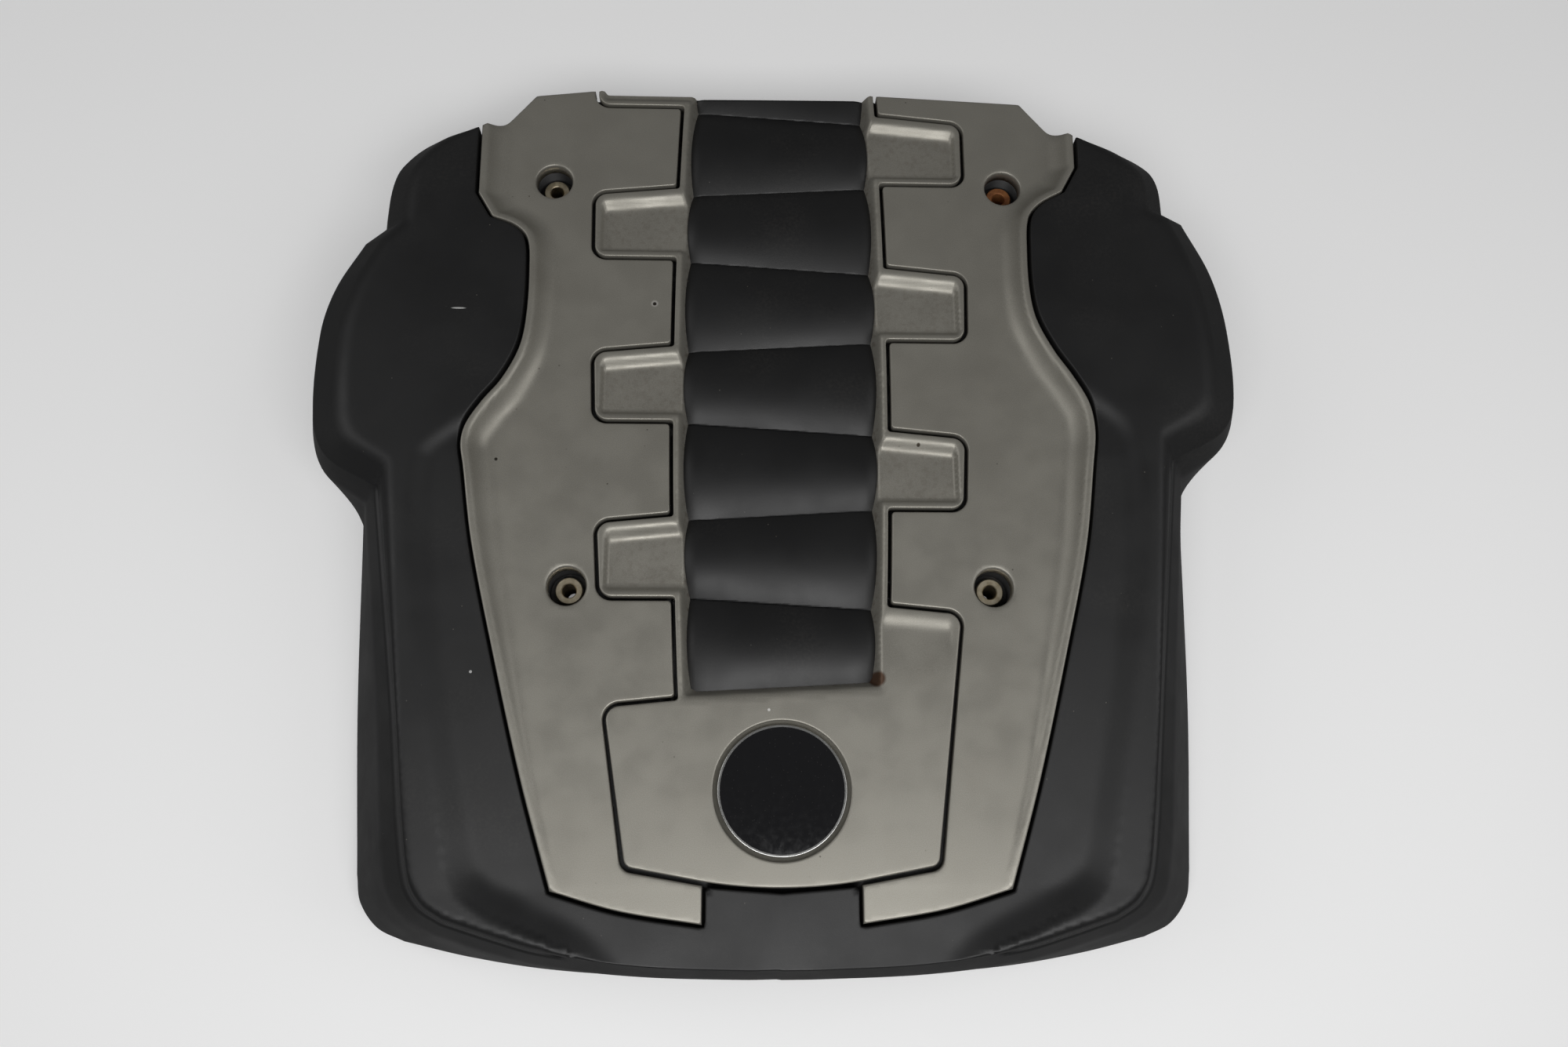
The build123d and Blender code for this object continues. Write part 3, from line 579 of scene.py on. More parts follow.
def side_trim(side, name):
    """Silver side moulding: flat tray that sweeps up to its outer lip."""
    outer = half_path(SILVER, side, EDGE_STEP, SILVER_SIDE)
    inner = frame_side(side, GROOVE / 2)
    inner = inner[:np.argmax(np.abs(inner[:, 0]) <= LEG_X + 0.01) + 1]
    loop = np.vstack((inner, between(inner[-1], outer[-1]), outer[::-1], between(outer[0], inner[0])))
    holes = [ring_of(x, y, HOLE_RADIUS) for x, y in MOUNTS if x * side > 0]
    verts, faces = flat_mesh([loop, *holes], TRAY_GRID, EDGE_ROWS)
    from_lip = distance(verts, half_path(SILVER, side, LIP_STEP, SILVER_LIP))
    y = verts[:, 1]
    growth = np.clip((y - FRONT_CORNER_Y) / SWEEP_GROWTH, 0, 1)
    run = SWEEP_FRONT_RUN + (SWEEP_RUN - SWEEP_FRONT_RUN) * growth
    t = np.minimum((from_lip - LIP_WIDTH) / run, 1)
    rise = lip_rise(y)
    height = PLATE_Z + soft_min(rise * (1 - t) ** 2, rise, LIP_ROUND * np.clip(rise, 0.3, 3))
    height -= edge_round(distance(verts, closed(loop)), EDGE_RADIUS)
    for hole in holes:
        height -= edge_round(distance(verts, closed(hole)), HOLE_EDGE)
    sheet = Sheet()
    sheet.patch(with_height(verts, height), faces)
    for ring in [loop, *holes]:
        sheet.strip(with_height(ring, height[:len(ring)]), level(ring, TRIM_BASE_Z), True)
        height = height[len(ring):]
    piece = sheet.piece(name)
    finish_trim(piece, [(side * x, y) for x, y in SIDE_PEGS], PLATE_Z - PEG_BURY)
    return piece


def thicken(piece, wall):
    """Gives a sheet its wall, on its inner side."""
    thick = piece.modifiers.new("thickness", "SOLIDIFY")
    thick.thickness = wall * MM
    thick.offset = -1


def finish_trim(piece, pegs, top):
    """Gives a silver sheet its thickness and its moulded pegs."""
    thicken(piece, TRIM_WALL)
    build = bmesh.new()
    build.from_mesh(piece.data)
    for x, y in pegs:
        place = Matrix.Translation(Vector((x, y, (top + PEG_END_Z) / 2)) * MM)
        bmesh.ops.create_cone(build, cap_ends=True, segments=24, radius1=PEG_RADIUS * MM,
                              radius2=PEG_RADIUS * MM, depth=(top - PEG_END_Z) * MM, matrix=place)
    build.to_mesh(piece.data)
    build.free()


def rib_z(x, y):
    """Top of the ribs: half barrels between creases that lean alternately."""
    index = np.arange(-1, 9)
    lean = np.where(index % 2 == 0, -1, 1)[:, None] * CREASE_LEAN * x[None]
    creases = FIRST_CREASE_Y - RIB_PITCH * index[:, None] + lean
    below = np.clip((creases > y[None]).sum(0) - 1, 0, 8)
    column = np.arange(len(x))
    rear, front = creases[below, column], creases[below + 1, column]
    t = (2 * y - rear - front) / (rear - front)
    return CREASE_BOTTOM_Z + RIB_HEIGHT * (1 - t * t)


def opening_edge_x(y):
    return spine_x(y) - STRIP


def opening_front(x):
    return OPENING_FRONT_Y + OPENING_SLANT * x


def wall_foot(at, ahead):
    """Foot of a sloping wall, just above the ribs, from its top edge and its direction."""
    low, high = np.zeros(len(at)), np.full(len(at), WALL_REACH)
    for _ in range(30):
        middle = (low + high) / 2
        x, y = (at + ahead * middle[:, None]).T
        above = PLATE_Z - middle * WALL_DROP / WALL_RUN > rib_z(x, y) + RIB_PLAY
        low, high = np.where(above, middle, low), np.where(above, high, middle)
    return at + ahead * low[:, None]


def opening_foot():
    """Line where the walls of the rib opening end, from the right rear to the left rear."""
    y = np.arange(REAR_Y, OPENING_FRONT_Y - 4, -1.0)
    right, left = (wall_foot(np.column_stack((side * opening_edge_x(y), y)), np.array((-side, 0)))
                   for side in (1, -1))
    x = np.arange(right[-1, 0], left[-1, 0], -1.2)
    front = wall_foot(np.column_stack((x, opening_front(x))), np.array((0, 1)))
    right, left = (line[line[:, 1] > np.interp(line[:, 0], *front[::-1].T) + FOOT_GAP]
                   for line in (right, left))
    front = front[(front[:, 0] < right[-1, 0] - FOOT_GAP) & (front[:, 0] > left[-1, 0] + FOOT_GAP)]
    return np.vstack((right, front, left[::-1]))


def pocket_drop(x, y):
    """Depth of the tab recesses, and of the shallow hollow on the badge plate."""
    drop = np.zeros(len(x))
    inset = GROOVE / 2 + POCKET_LIP
    for side in (-1, 1):
        out = side * x
        for index in range(-1, LAST_TAB + 1 if side > 0 else LAST_TAB):
            rear = tab_rear(side, index) - TAB_LEAN * (out - TAB_LEAN_X) - inset
            front = tab_rear(side, index) - TAB_LENGTH + inset
            end = tab_end_x(tab_rear(side, index) - TAB_LENGTH / 2) - inset
            last = index == LAST_TAB
            depth = SHALLOW_DEPTH if last else POCKET_DEPTH
            front_run = TAB_LENGTH * SHALLOW_SHARE if last else POCKET_FRONT_RUN
            rows = np.stack((smooth((rear - y) / POCKET_REAR_RUN), smooth((y - front) / front_run),
                             smooth((end - out) / POCKET_END_RUN)))
            drop = np.maximum(drop, np.where(out > 0, depth * rows.prod(0), 0))
    return drop


def centre_frame():
    """Silver frame round the ribs: tabs with recesses, sloping walls and the badge seat."""
    right, left = (frame_side(side, -GROOVE / 2) for side in (1, -1))
    foot = opening_foot()
    rim = np.vstack((right, left[-2::-1]))
    loop = np.vstack((foot[::-1], between(foot[0], right[0]), rim, between(left[0], foot[-1])))
    seat = ring_of(0, BADGE_Y, SEAT_RADIUS, SEAT_POINTS)
    verts, faces = flat_mesh([loop, seat], FRAME_GRID, EDGE_ROWS)
    x, y = verts.T
    wall = np.minimum(opening_edge_x(y) - np.abs(x), y - opening_front(x))
    walls = PLATE_Z - wall * WALL_DROP / WALL_RUN
    walls = soft_min(np.full(len(x), PLATE_Z), walls, WALL_ROUND)
    pockets = PLATE_Z - pocket_drop(x, y)
    height = np.where(wall < -2, pockets, soft_min(walls, pockets + 0.02, POCKET_ROUND))
    height -= edge_round(distance(verts, rim), EDGE_RADIUS)
    height -= edge_round(distance(verts, closed(seat)), SEAT_EDGE)
    sheet = Sheet()
    sheet.patch(with_height(verts, height), faces)
    count = len(loop)
    outer = np.arange(len(foot) - 1, count + 1) % count
    sheet.strip(with_height(loop, height[:count])[outer], level(loop[outer], TRIM_BASE_Z))
    seat_z = PLATE_Z - SEAT_DEPTH
    seat_hole = ring_of(0, BADGE_Y, SEAT_HOLE_RADIUS, SEAT_POINTS)
    sheet.rows([with_height(seat, height[count:count + SEAT_POINTS]),
                level(seat, seat_z), level(seat_hole, seat_z)], True)
    piece = sheet.piece("centre_frame")
    finish_trim(piece, FRAME_PEGS, PLATE_Z - POCKET_DEPTH - PEG_BURY)
    return piece


def black_top(x, y):
    """Height of the black top: flat shoulders, a fall to the front and the side channels."""
    fall = (TOP_Z - FRONT_Z) / (LIP_FALL_Y - FRONT_CORNER_Y)
    line = FRONT_Z + fall * (y - FRONT_CORNER_Y)
    top = soft_min(np.full(len(x), TOP_Z), np.maximum(line, FRONT_Z), TOP_ROUND)
    slanted = PLATE_Z + LIP_RISE * (y - FRONT_CORNER_Y) / (LIP_FALL_Y - FRONT_CORNER_Y)
    floor = PLATE_Z + lip_rise(y) - CHANNEL_DROP
    points = np.column_stack((x, y))
    right, left = (half_path(CHANNEL, side, WALL_STEP) for side in (1, -1))
    gap = np.minimum(distance(points, right), distance(points, left))
    within = inside(points, np.vstack((right, left[::-1])))
    bank = slanted + CHANNEL_DEPTH * (1 - np.where(within, gap, -gap) / CHANNEL_BANK)
    bank = np.where(within, -soft_min(-bank, -floor, BANK_ROUND), 1e3)
    return np.where(within | (gap < CHANNEL_MARGIN), soft_min(top, bank, BANK_ROUND), top)


def nearest(points, line):
    """Index of the nearest point of a line."""
    out = np.zeros(len(points), int)
    for start in range(0, len(points), CHUNK):
        p = points[start:start + CHUNK]
        out[start:start + CHUNK] = ((p[:, None] - line[None]) ** 2).sum(2).argmin(1)
    return out


def ring_points(half, counts):
    """Outline from the right rear corner round the front to the left rear corner."""
    rows = []
    for side in (1, -1):
        table = one_side(half, side)[REAR_CORNER:]
        table = np.vstack((table, (0, table[-1, 1] - side * 0.2, 0)))
        line = path(table[:, :2], table[:, 2], counts)
        rows.append(line if side > 0 else line[::-1][1:])
    rows[0][-1] = (0, rows[0][-2, 1])
    line = np.vstack(rows)
    line[:, 1] = np.maximum(line[:, 1], FRONT_Y)
    return line


def bent(levels, reaches):
    """Rows of points up a wall, bent round its levels instead of sharply creased."""
    rows = [levels[0]]
    for i in range(1, len(levels) - 1):
        here, below, above = levels[i], levels[i - 1], levels[i + 1]
        down = np.linalg.norm(below - here, axis=1)[:, None]
        up = np.linalg.norm(above - here, axis=1)[:, None]
        a = here + (below - here) * np.minimum(reaches[i - 1] / down, BEND_SHARE)
        b = here + (above - here) * np.minimum(reaches[i - 1] / up, BEND_SHARE)
        for k in range(BEND_STEPS + 1):
            t = k / BEND_STEPS
            rows.append((1 - t) ** 2 * a + 2 * t * (1 - t) * here + t * t * b)
    rows.append(levels[-1])
    return rows


def seam_line():
    """Edge of the black top along the silver, from the right rear corner to the left one."""
    sides = []
    for side in (1, -1):
        silver = half_path(SILVER, side, EDGE_STEP, SILVER_SEAM)
        ahead = np.gradient(silver, axis=0)
        normal = np.column_stack((-ahead[:, 1], ahead[:, 0])) * side
        normal /= np.linalg.norm(normal, axis=1)[:, None]
        moved = silver + normal * SEAM
        kept = moved[distance(moved, silver) > SEAM * 0.97]
        kept = kept[(kept[:, 0] * side >= 0) & (kept[:, 1] < SEAM_REAR_Y)]
        corner_x = SILVER[SILVER_SEAM.start][0]
        first = np.array(((side * (corner_x + SEAM), SEAM_REAR_Y),))
        sides.append(np.vstack((first, kept)))
    return np.vstack((sides[0], sides[1][::-1]))


def crease_depth(counts, total):
    """Depth of the crease at each point of the panels, which fades at both its ends."""
    mark = np.arange(total) * 1.0
    corner = np.cumsum([0] + counts)
    first, last = corner[CREASE_SPAN[0]] - 2, corner[CREASE_SPAN[1]] + CREASE_FADE
    fade = np.minimum(smooth((mark - first) / CREASE_FADE), smooth((last - mark) / CREASE_FADE))
    return np.maximum(fade, fade[::-1])[:, None] * CREASE_DEPTH


def side_walls(sheet):
    """Skirts and side panels, from the right rear corner round the front to the left one.

    Returns the rows of points at the deck and at the edge of the top, and for each point of
    that edge its depth below the flat top and the slope of the panel."""
    table = one_side(WAIST, 1)[REAR_CORNER:]
    counts = steps_of(np.vstack((table[:, :2], (0, table[-1, 1]))), SKIRT_STEP)
    rim, waist, crease, crown = (ring_points(half, counts) for half in (RIM, WAIST, CREASE, CROWN))

    # Edge of the top, where the slope of the shoulders turns into the flat
    flat = black_top(*crown.T)
    height = np.maximum(flat - EDGE_FALL, CREASE_Z + EDGE_RISE)
    share = ((height - CREASE_Z) / (TOP_Z - CREASE_Z))[:, None]
    slope = (TOP_Z - CREASE_Z) / np.linalg.norm(crown - crease, axis=1)
    top_row = with_height(crease + (crown - crease) * share, height)
    crease_row = level(crease, CREASE_Z)
    deck_share = (DECK_Z - WAIST_Z) / (CREASE_Z - WAIST_Z)
    deck_row = level(waist + (crease - waist) * deck_share, DECK_Z)

    # Crease, pressed in and down between the deck and the top
    outward = crease - np.array(PANEL_CENTRE) * (crease[:, 1:] > 0)
    inward = -outward / np.linalg.norm(outward, axis=1)[:, None]
    dent = level(inward * DENT_AIM, -DENT_AIM) * crease_depth(counts, len(crease))
    climb = np.linalg.norm(top_row - crease_row, axis=1)[:, None]
    lift = (top_row - crease_row) * np.minimum(CREASE_WIDTH / climb, CLIMB_SHARE)
    sink = (deck_row - crease_row) * (CREASE_WIDTH / DECK_CLIMB)
    skirt = bent([level(rim, 0), level(rim, RIM_HEIGHT), level(waist, WAIST_Z), crease_row],
                 SKIRT_BENDS)
    groove = [crease_row + sink, crease_row + sink * DENT_AT + dent,
              crease_row + lift * DENT_AT + dent, crease_row + lift]
    sheet.rows([*skirt[:-1], deck_row, *groove, top_row])
    return deck_row, top_row, flat - height, slope


def rear_wall(sheet):
    """Wall up to the deck at the rear. Returns its line, from the right to the left."""
    table = np.vstack((one_side(RIM, 1)[:REAR_CORNER + 1][::-1],
                       one_side(RIM, -1)[1:REAR_CORNER + 1]))
    line = path(table[:, :2], table[:, 2], steps_of(table[:, :2], WALL_STEP))
    sheet.rows([level(line, z) for z in REAR_WALL_LEVELS])
    return line


def top_surface(sheet, top_row, fall, slope, seam):
    """Black top between the side panels and the silver, rounded over at both."""
    edge = top_row[:, :2]
    count = len(edge)
    verts, faces = flat_mesh([np.vstack((edge, seam[::-1]))], TOP_GRID, TOP_ROWS)
    near = nearest(verts, edge)
    reach = np.clip(2 * fall[near] / slope[near], *EDGE_REACH)
    t = np.clip(1 - distance(verts, edge) / reach, 0, 1)
    z = black_top(*verts.T) - fall[near] * t * t
    z -= edge_round(distance(verts, seam), EDGE_RADIUS)
    z[:count] = top_row[:, 2]
    sheet.patch(with_height(verts, z), faces)
    seam_top = with_height(seam, z[count:count + len(seam)][::-1])
    seam_base = level(seam, DECK_Z)
    sheet.rows([seam_top, (seam_top + seam_base) / 2, seam_base])


def deck(sheet, deck_row, seam, rear):
    """Deck under the silver, with the slot for the ribs, the wells and the holes for the pegs."""
    slot_rear = np.interp(SLOT_HALF, *rear.T)
    slot = divided(np.array(((-SLOT_HALF, slot_rear), (-SLOT_HALF, SLOT_FRONT_Y),
                             (SLOT_HALF, SLOT_FRONT_Y), (SLOT_HALF, slot_rear))), WALL_STEP)
    outline = np.vstack((rear[rear[:, 0] < -SLOT_HALF - 1][1:], slot,
                         rear[rear[:, 0] > SLOT_HALF + 1][:-1]))
    loop = np.vstack((deck_row[:1, :2], seam, deck_row[-1:, :2], outline))
    wells = [ring_of(x, y, WELL_RADIUS) for x, y in MOUNTS]
    pegs = [(side * x, y) for side in (-1, 1) for x, y in SIDE_PEGS] + FRAME_PEGS
    peg_holes = [ring_of(x, y, PEG_HOLE_RADIUS, PEG_HOLE_POINTS) for x, y in pegs]
    verts, faces = flat_mesh([loop, *wells, *peg_holes], DECK_GRID)
    sheet.patch(level(verts, DECK_Z), faces)
    for x, y in MOUNTS:
        rings = ((WELL_RADIUS, DECK_Z), (WELL_RADIUS, FLANGE_Z), (NECK_RADIUS, FLANGE_Z))
        sheet.rows([level(ring_of(x, y, radius), z) for radius, z in rings], True)


def ribs(sheet):
    """Ribs, rolled down at their ends, and the strips that join them to the deck."""
    half = np.concatenate((np.arange(0, RIB_MIDDLE, RIB_MIDDLE_COLUMN),
                           np.arange(RIB_MIDDLE, RIB_HALF + 0.1, RIB_END_COLUMN)))
    xs = np.concatenate((-half[:0:-1], half))
    ys = np.arange(SLOT_FRONT_Y + 1, REAR_Y + 0.8, RIB_STEP)
    grid_x, grid_y = (values.ravel() for values in np.meshgrid(xs, ys))
    ends = opening_edge_x(grid_y) - RIB_END_GAP - np.abs(grid_x)
    z = rib_z(grid_x, grid_y) - RIB_ROLL * np.clip(1 - ends / RIB_ROLL_RUN, 0, 1.2) ** 2
    wide = len(xs)
    quads = [(j * wide + i, j * wide + i + 1, (j + 1) * wide + i + 1, (j + 1) * wide + i)
             for j in range(len(ys) - 1) for i in range(wide - 1)]
    barrels = np.column_stack((grid_x, grid_y, z))
    sheet.patch(barrels, quads)
    barrels = barrels.reshape(len(ys), wide, 3)
    for column, side in ((barrels[:, 0], -1), (barrels[:, -1], 1)):
        sheet.strip(column, level(np.column_stack((np.full(len(ys), side * SLOT_HALF), ys)), DECK_Z))
    rail = np.column_stack((xs * SLOT_HALF / RIB_HALF, np.full(wide, SLOT_FRONT_Y)))
    sheet.strip(barrels[0], level(rail, DECK_Z))


def cover_shell():
    """Black carrier: skirts, shoulders, channels, deck, wells and ribs."""
    sheet = Sheet()
    deck_row, top_row, fall, slope = side_walls(sheet)
    rear = rear_wall(sheet)
    seam = seam_line()
    top_surface(sheet, top_row, fall, slope, seam)
    deck(sheet, deck_row, seam, rear[::-1])
    ribs(sheet)
    piece = sheet.piece("cover_shell")
    thicken(piece, WALL)
    return piece


class Shader:
    """Node tree of one material, with short calls for the nodes that are used."""

    def __init__(self, name):
        self.material = bpy.data.materials.new(name)
        self.material.use_nodes = True
        self.tree = self.material.node_tree
        self.skin = self.tree.nodes["Principled BSDF"]
        self.at = self.add("ShaderNodeTexCoord").outputs["Object"]

    def add(self, kind, **settings):
        node = self.tree.nodes.new(kind)
        for key, value in settings.items():
            setattr(node, key, value)
        return node

    def link(self, source, socket):
        if isinstance(source, bpy.types.NodeSocket):
            self.tree.links.new(source, socket)
        else:
            socket.default_value = source

    def set(self, **values):
        for name, value in values.items():
            self.link(value, self.skin.inputs[name.replace("_", " ")])

    def noise(self, scale, detail, stretch=None):
        """Noise with a given number of cells per millimetre."""
        node = self.add("ShaderNodeTexNoise")
        node.inputs["Scale"].default_value = scale / MM
        node.inputs["Detail"].default_value = detail
        source = self.at
        if stretch:
            mapped = self.add("ShaderNodeMapping")
            self.link(source, mapped.inputs["Vector"])
            mapped.inputs["Scale"].default_value = stretch
            source = mapped.outputs["Vector"]
        self.link(source, node.inputs["Vector"])
        return node.outputs["Fac"]

    def cells(self, scale):
        node = self.add("ShaderNodeTexVoronoi")
        node.inputs["Scale"].default_value = scale / MM
        self.link(self.at, node.inputs["Vector"])
        return node.outputs["Distance"]

    def ramp(self, source, low, high, start=0.0, stop=1.0):
        """Smooth change from one value to another while the source goes from low to high."""
        node = self.add("ShaderNodeMapRange", interpolation_type="SMOOTHSTEP")
        self.link(source, node.inputs["Value"])
        node.inputs["From Min"].default_value = low
        node.inputs["From Max"].default_value = high
        node.inputs["To Min"].default_value = start
        node.inputs["To Max"].default_value = stop
        return node.outputs["Result"]

    def product(self, a, b):
        node = self.add("ShaderNodeMath", operation="MULTIPLY")
        self.link(a, node.inputs[0])
        self.link(b, node.inputs[1])
        return node.outputs["Value"]

    def mix(self, share, a, b):
        node = self.add("ShaderNodeMix", data_type="RGBA")
        self.link(share, node.inputs["Factor"])
        self.link(a, node.inputs["A"])
        self.link(b, node.inputs["B"])
        return node.outputs["Result"]

    def spot(self, x, y, radius, stretch=(1, 1)):
        """One at a place on the top, fading to nothing at the radius."""
        mapped = self.add("ShaderNodeMapping")
        self.link(self.at, mapped.inputs["Vector"])
        mapped.inputs["Location"].default_value = (-x * MM * stretch[0], -y * MM * stretch[1], 0)
        mapped.inputs["Scale"].default_value = (stretch[0], stretch[1], 0)
        length = self.add("ShaderNodeVectorMath", operation="LENGTH")
        self.link(mapped.outputs["Vector"], length.inputs[0])
        return self.ramp(length.outputs["Value"], radius * 0.6 * MM, radius * MM, 1.0, 0.0)

    def axis(self, name):
        node = self.add("ShaderNodeSeparateXYZ")
        self.link(self.at, node.inputs["Vector"])
        return node.outputs[name]

    def bump(self, height, strength, depth):
        node = self.add("ShaderNodeBump")
        node.inputs["Strength"].default_value = strength
        node.inputs["Distance"].default_value = depth * MM
        self.link(height, node.inputs["Height"])
        self.link(node.outputs["Normal"], self.skin.inputs["Normal"])


def black_plastic():
    look = Shader("black_plastic")
    dust = look.product(look.ramp(look.noise(0.02, 6), 0.45, 0.75),
                        look.ramp(look.noise(0.6, 4), 0.35, 0.8))
    specks = look.product(look.ramp(look.cells(0.14), 0.03, 0.05, 1.0, 0.0),
                          look.ramp(look.noise(0.05, 2), 0.5, 0.6))
    base = look.mix(look.ramp(look.noise(0.01, 3), 0.3, 0.7), (0.0045, 0.0045, 0.0048, 1),
                    (0.0065, 0.0065, 0.0068, 1))
    base = look.mix(look.product(dust, 0.18), base, (0.06, 0.055, 0.048, 1))
    base = look.mix(look.product(specks, 0.6), base, (0.16, 0.15, 0.13, 1))
    for x, y, radius, stretch in PLASTIC_MARKS:
        base = look.mix(look.spot(x, y, radius, stretch), base, (0.42, 0.42, 0.41, 1))
    rough = look.ramp(look.noise(0.03, 5), 0.3, 0.7, 0.43, 0.52)
    look.set(Base_Color=base, Roughness=rough, Specular_IOR_Level=0.5)
    look.bump(look.noise(1.6, 3), 0.22, 0.12)
    return look.material


def silver_paint():
    look = Shader("silver_paint")
    tone = look.ramp(look.noise(0.012, 4), 0.3, 0.7)
    base = look.mix(tone, (0.250, 0.238, 0.205, 1), (0.272, 0.260, 0.225, 1))
    flakes = look.ramp(look.noise(2.6, 2), 0.3, 0.7)
    base = look.mix(look.product(flakes, 0.22), base, (0.52, 0.50, 0.45, 1))
    specks = look.product(look.ramp(look.cells(0.11), 0.035, 0.06, 1.0, 0.0),
                          look.ramp(look.noise(0.04, 2), 0.46, 0.6))
    base = look.mix(look.product(specks, 0.75), base, (0.06, 0.05, 0.04, 1))
    # Darker brown in the recesses, fully at 7.5 mm below the plate and not at all above 2.5 mm below
    # it, broken up by noise
    height = look.axis("Z")
    low = look.ramp(height, (PLATE_Z - 7.5) * MM, (PLATE_Z - 2.5) * MM, 1.0, 0.0)
    recess_darkening = look.product(low, look.ramp(look.noise(0.35, 8), 0.45, 0.7))
    base = look.mix(look.product(recess_darkening, 0.45), base, (0.085, 0.055, 0.035, 1))
    film = look.product(look.ramp(look.noise(0.03, 8), 0.5, 0.75), 0.08)
    base = look.mix(film, base, (0.17, 0.15, 0.12, 1))
    for x, y, radius, colour in PAINT_MARKS:
        base = look.mix(look.spot(x, y, radius), base, colour)
    rough = look.ramp(look.noise(0.05, 5), 0.3, 0.7, 0.36, 0.46)
    look.set(Base_Color=base, Roughness=rough, Metallic=0.55)
    look.bump(look.noise(1.1, 3), 0.12, 0.06)
    return look.material


def plain_metal(name, base, second, rough, metallic=1.0):
    """Metal with fine scratches, and patches of a second colour."""
    look = Shader(name)
    patches = look.ramp(look.noise(0.25, 6), 0.25, 0.75)
    scratches = look.noise(1.2, 3, stretch=(1, 8, 1))
    look.set(Base_Color=look.mix(patches, base, second), Metallic=metallic,
             Roughness=look.ramp(scratches, 0.3, 0.7, rough, rough + 0.12))
    look.bump(scratches, 0.1, 0.04)
    return look.material


def badge_black():
    look = Shader("badge_black")
    dust = look.ramp(look.cells(0.5), 0.05, 0.09, 1.0, 0.0)
    base = look.mix(look.product(dust, 0.25), (0.006, 0.006, 0.007, 1),
                    (0.2, 0.19, 0.17, 1))
    look.set(Base_Color=base, Roughness=look.ramp(look.noise(0.3, 5), 0.3, 0.7, 0.07, 0.14))
    look.bump(look.noise(0.08, 2), 0.05, 0.1)
    return look.material


def mount_rubber():
    look = Shader("mount_rubber")
    base = look.mix(look.ramp(look.noise(0.2, 5), 0.4, 0.7), (0.012, 0.012, 0.012, 1),
                    (0.05, 0.045, 0.038, 1))
    look.set(Base_Color=base, Roughness=0.75)
    look.bump(look.noise(0.9, 4), 0.3, 0.15)
    return look.material


def plain_floor():
    """Pale floor that looks white, and lights the object from below only a little."""
    look = Shader("floor")
    look.set(Base_Color=(0.8, 0.8, 0.8, 1), Roughness=0.9, Specular_IOR_Level=0.0,
             Emission_Color=(1, 1, 1, 1), Emission_Strength=0.22)
    paths = look.add("ShaderNodeLightPath")
    dull = look.add("ShaderNodeBsdfDiffuse")
    dull.inputs["Color"].default_value = (0.3, 0.3, 0.3, 1)
    mixed = look.add("ShaderNodeMixShader")
    look.link(paths.outputs["Is Camera Ray"], mixed.inputs["Fac"])
    look.link(dull.outputs["BSDF"], mixed.inputs[1])
    look.link(look.skin.outputs["BSDF"], mixed.inputs[2])
    look.link(mixed.outputs["Shader"], look.tree.nodes["Material Output"].inputs["Surface"])
    return look.material


def lamp(name, place, target, width, height, power):
    data = bpy.data.lights.new(name, "AREA")
    data.shape = "RECTANGLE"
    data.size, data.size_y, data.energy = width, height, power
    light = bpy.data.objects.new(name, data)
    bpy.context.scene.collection.objects.link(light)
    light.location = place
    light.rotation_euler = (Vector(target) - Vector(place)).to_track_quat("-Z", "Y").to_euler()


def white_background():
    world = bpy.data.worlds.new("backdrop")
    bpy.context.scene.world = world
    world.use_nodes = True
    tree = world.node_tree
    paths = tree.nodes.new("ShaderNodeLightPath")
    seen = tree.nodes["Background"]
    seen.inputs["Color"].default_value = (1, 1, 1, 1)
    seen.inputs["Strength"].default_value = 1.0
    around = tree.nodes.new("ShaderNodeBackground")
    around.inputs["Color"].default_value = (1, 1, 1, 1)
    around.inputs["Strength"].default_value = 0.14
    mixed = tree.nodes.new("ShaderNodeMixShader")
    tree.links.new(paths.outputs["Is Camera Ray"], mixed.inputs["Fac"])
    tree.links.new(around.outputs["Background"], mixed.inputs[1])
    tree.links.new(seen.outputs["Background"], mixed.inputs[2])
    tree.links.new(mixed.outputs["Shader"], tree.nodes["World Output"].inputs["Surface"])


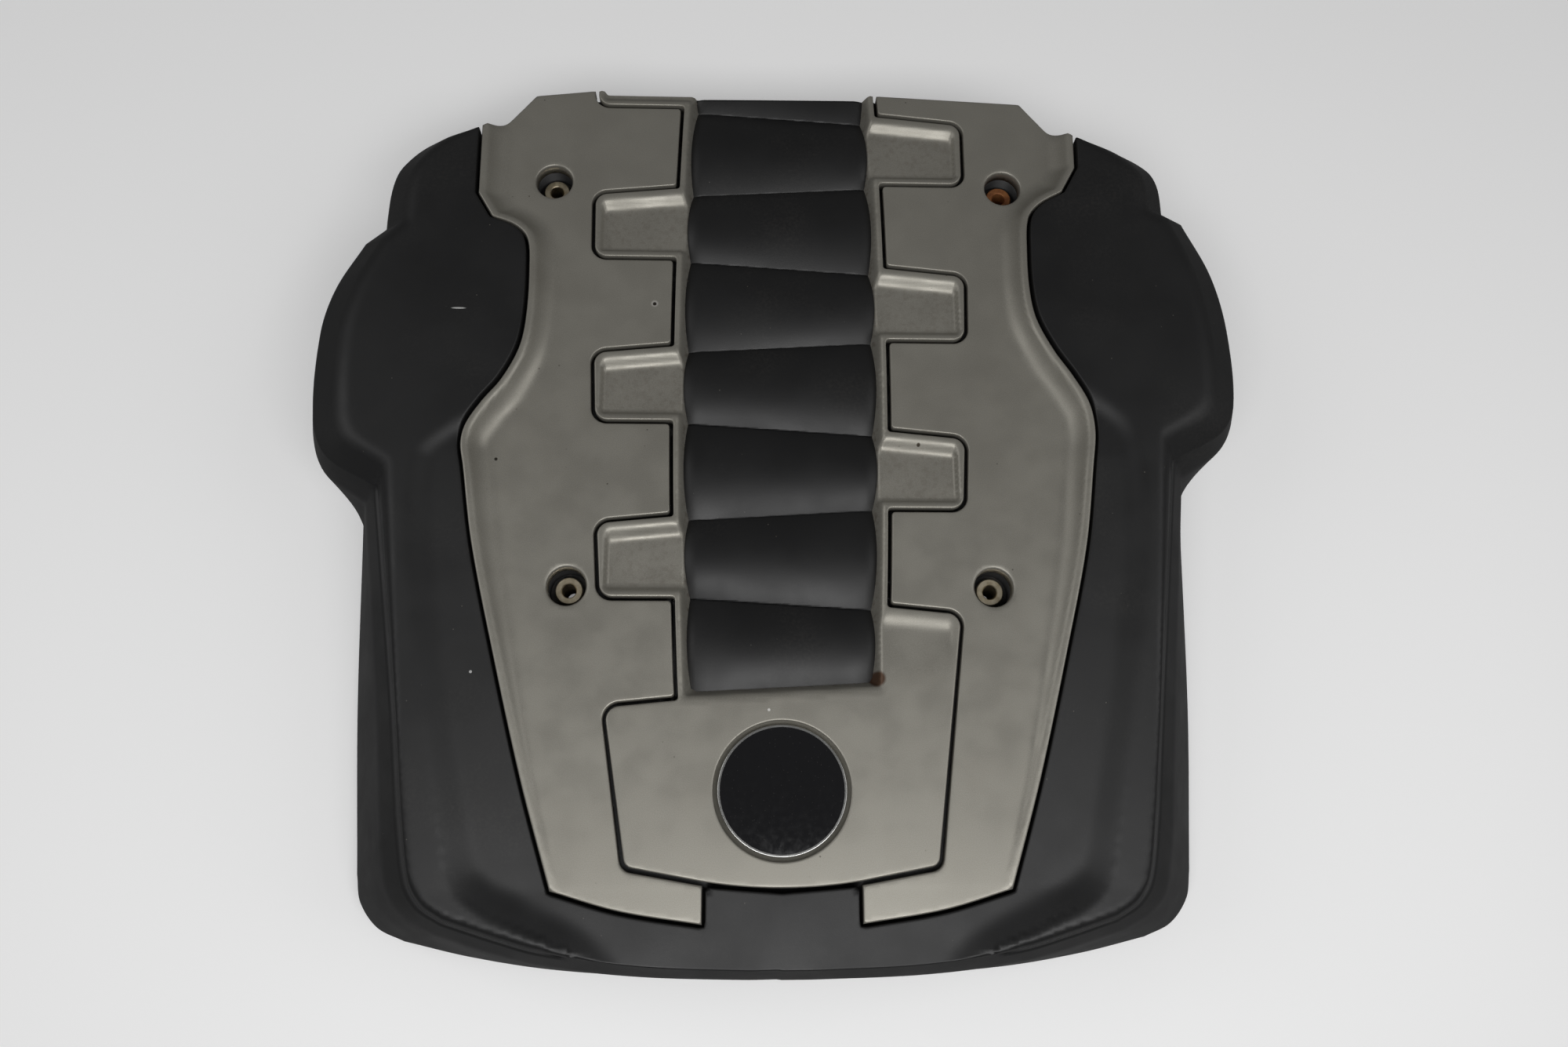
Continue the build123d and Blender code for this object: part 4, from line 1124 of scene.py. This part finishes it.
def floor():
    build = bmesh.new()
    bmesh.ops.create_grid(build, x_segments=1, y_segments=1, size=6.0)
    mesh = bpy.data.meshes.new("floor")
    build.to_mesh(mesh)
    build.free()
    piece = bpy.data.objects.new("floor", mesh)
    bpy.context.scene.collection.objects.link(piece)
    mesh.materials.append(plain_floor())


def dress(piece, material):
    piece.data.materials.clear()
    piece.data.materials.append(material)


looks = {
    "black_plastic": black_plastic(),
    "silver_paint": silver_paint(),
    "chrome_ring": plain_metal("chrome_ring", (0.72, 0.72, 0.71, 1), (0.6, 0.6, 0.58, 1), 0.12),
    "badge_black": badge_black(),
    "sleeve_metal": plain_metal("sleeve_metal", (0.78, 0.70, 0.54, 1), (0.5, 0.42, 0.28, 1), 0.3),
    "sleeve_rust": plain_metal("sleeve_rust", (0.36, 0.15, 0.05, 1), (0.2, 0.07, 0.025, 1),
                               0.55, metallic=0.4),
    "mount_rubber": mount_rubber(),
    "spring_steel": plain_metal("spring_steel", (0.4, 0.4, 0.4, 1), (0.24, 0.19, 0.15, 1), 0.35),
}
corners = ("rear_left", "rear_right", "front_left", "front_right")
fittings = {"badge_bezel": "chrome_ring", "badge_face": "badge_black"}
fittings |= {f"sleeve_{corner}": "sleeve_metal" for corner in corners}
fittings |= {f"grommet_{corner}": "mount_rubber" for corner in corners}
fittings |= {f"{trim}_trim_clips": "spring_steel" for trim in ("centre", "left", "right")}
for name, slot in fittings.items():
    look = "sleeve_rust" if name == "sleeve_rear_right" else slot
    dress(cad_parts[name], looks[look])
for piece, node in ((cover_shell(), "base_cover"), (centre_frame(), "centre_trim"),
                    (side_trim(-1, "left_tray"), "left_trim"),
                    (side_trim(1, "right_tray"), "right_trim")):
    slot = "black_plastic" if node == "base_cover" else "silver_paint"
    dress(piece, looks[slot])
    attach(piece, "root")
    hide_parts(node)
bpy.context.scene.view_settings.view_transform = "Standard"
camera()
white_background()
floor()
lamp("key", (0.03, -0.48, 0.95), (0, -0.05, 0.08), 0.9, 0.3, 5.4)
lamp("left", (-1.3, 0.2, 1.2), (0, 0, 0.05), 1.0, 1.0, 4.0)
lamp("right", (1.3, -0.1, 1.2), (0, 0, 0.05), 1.0, 1.0, 4.0)
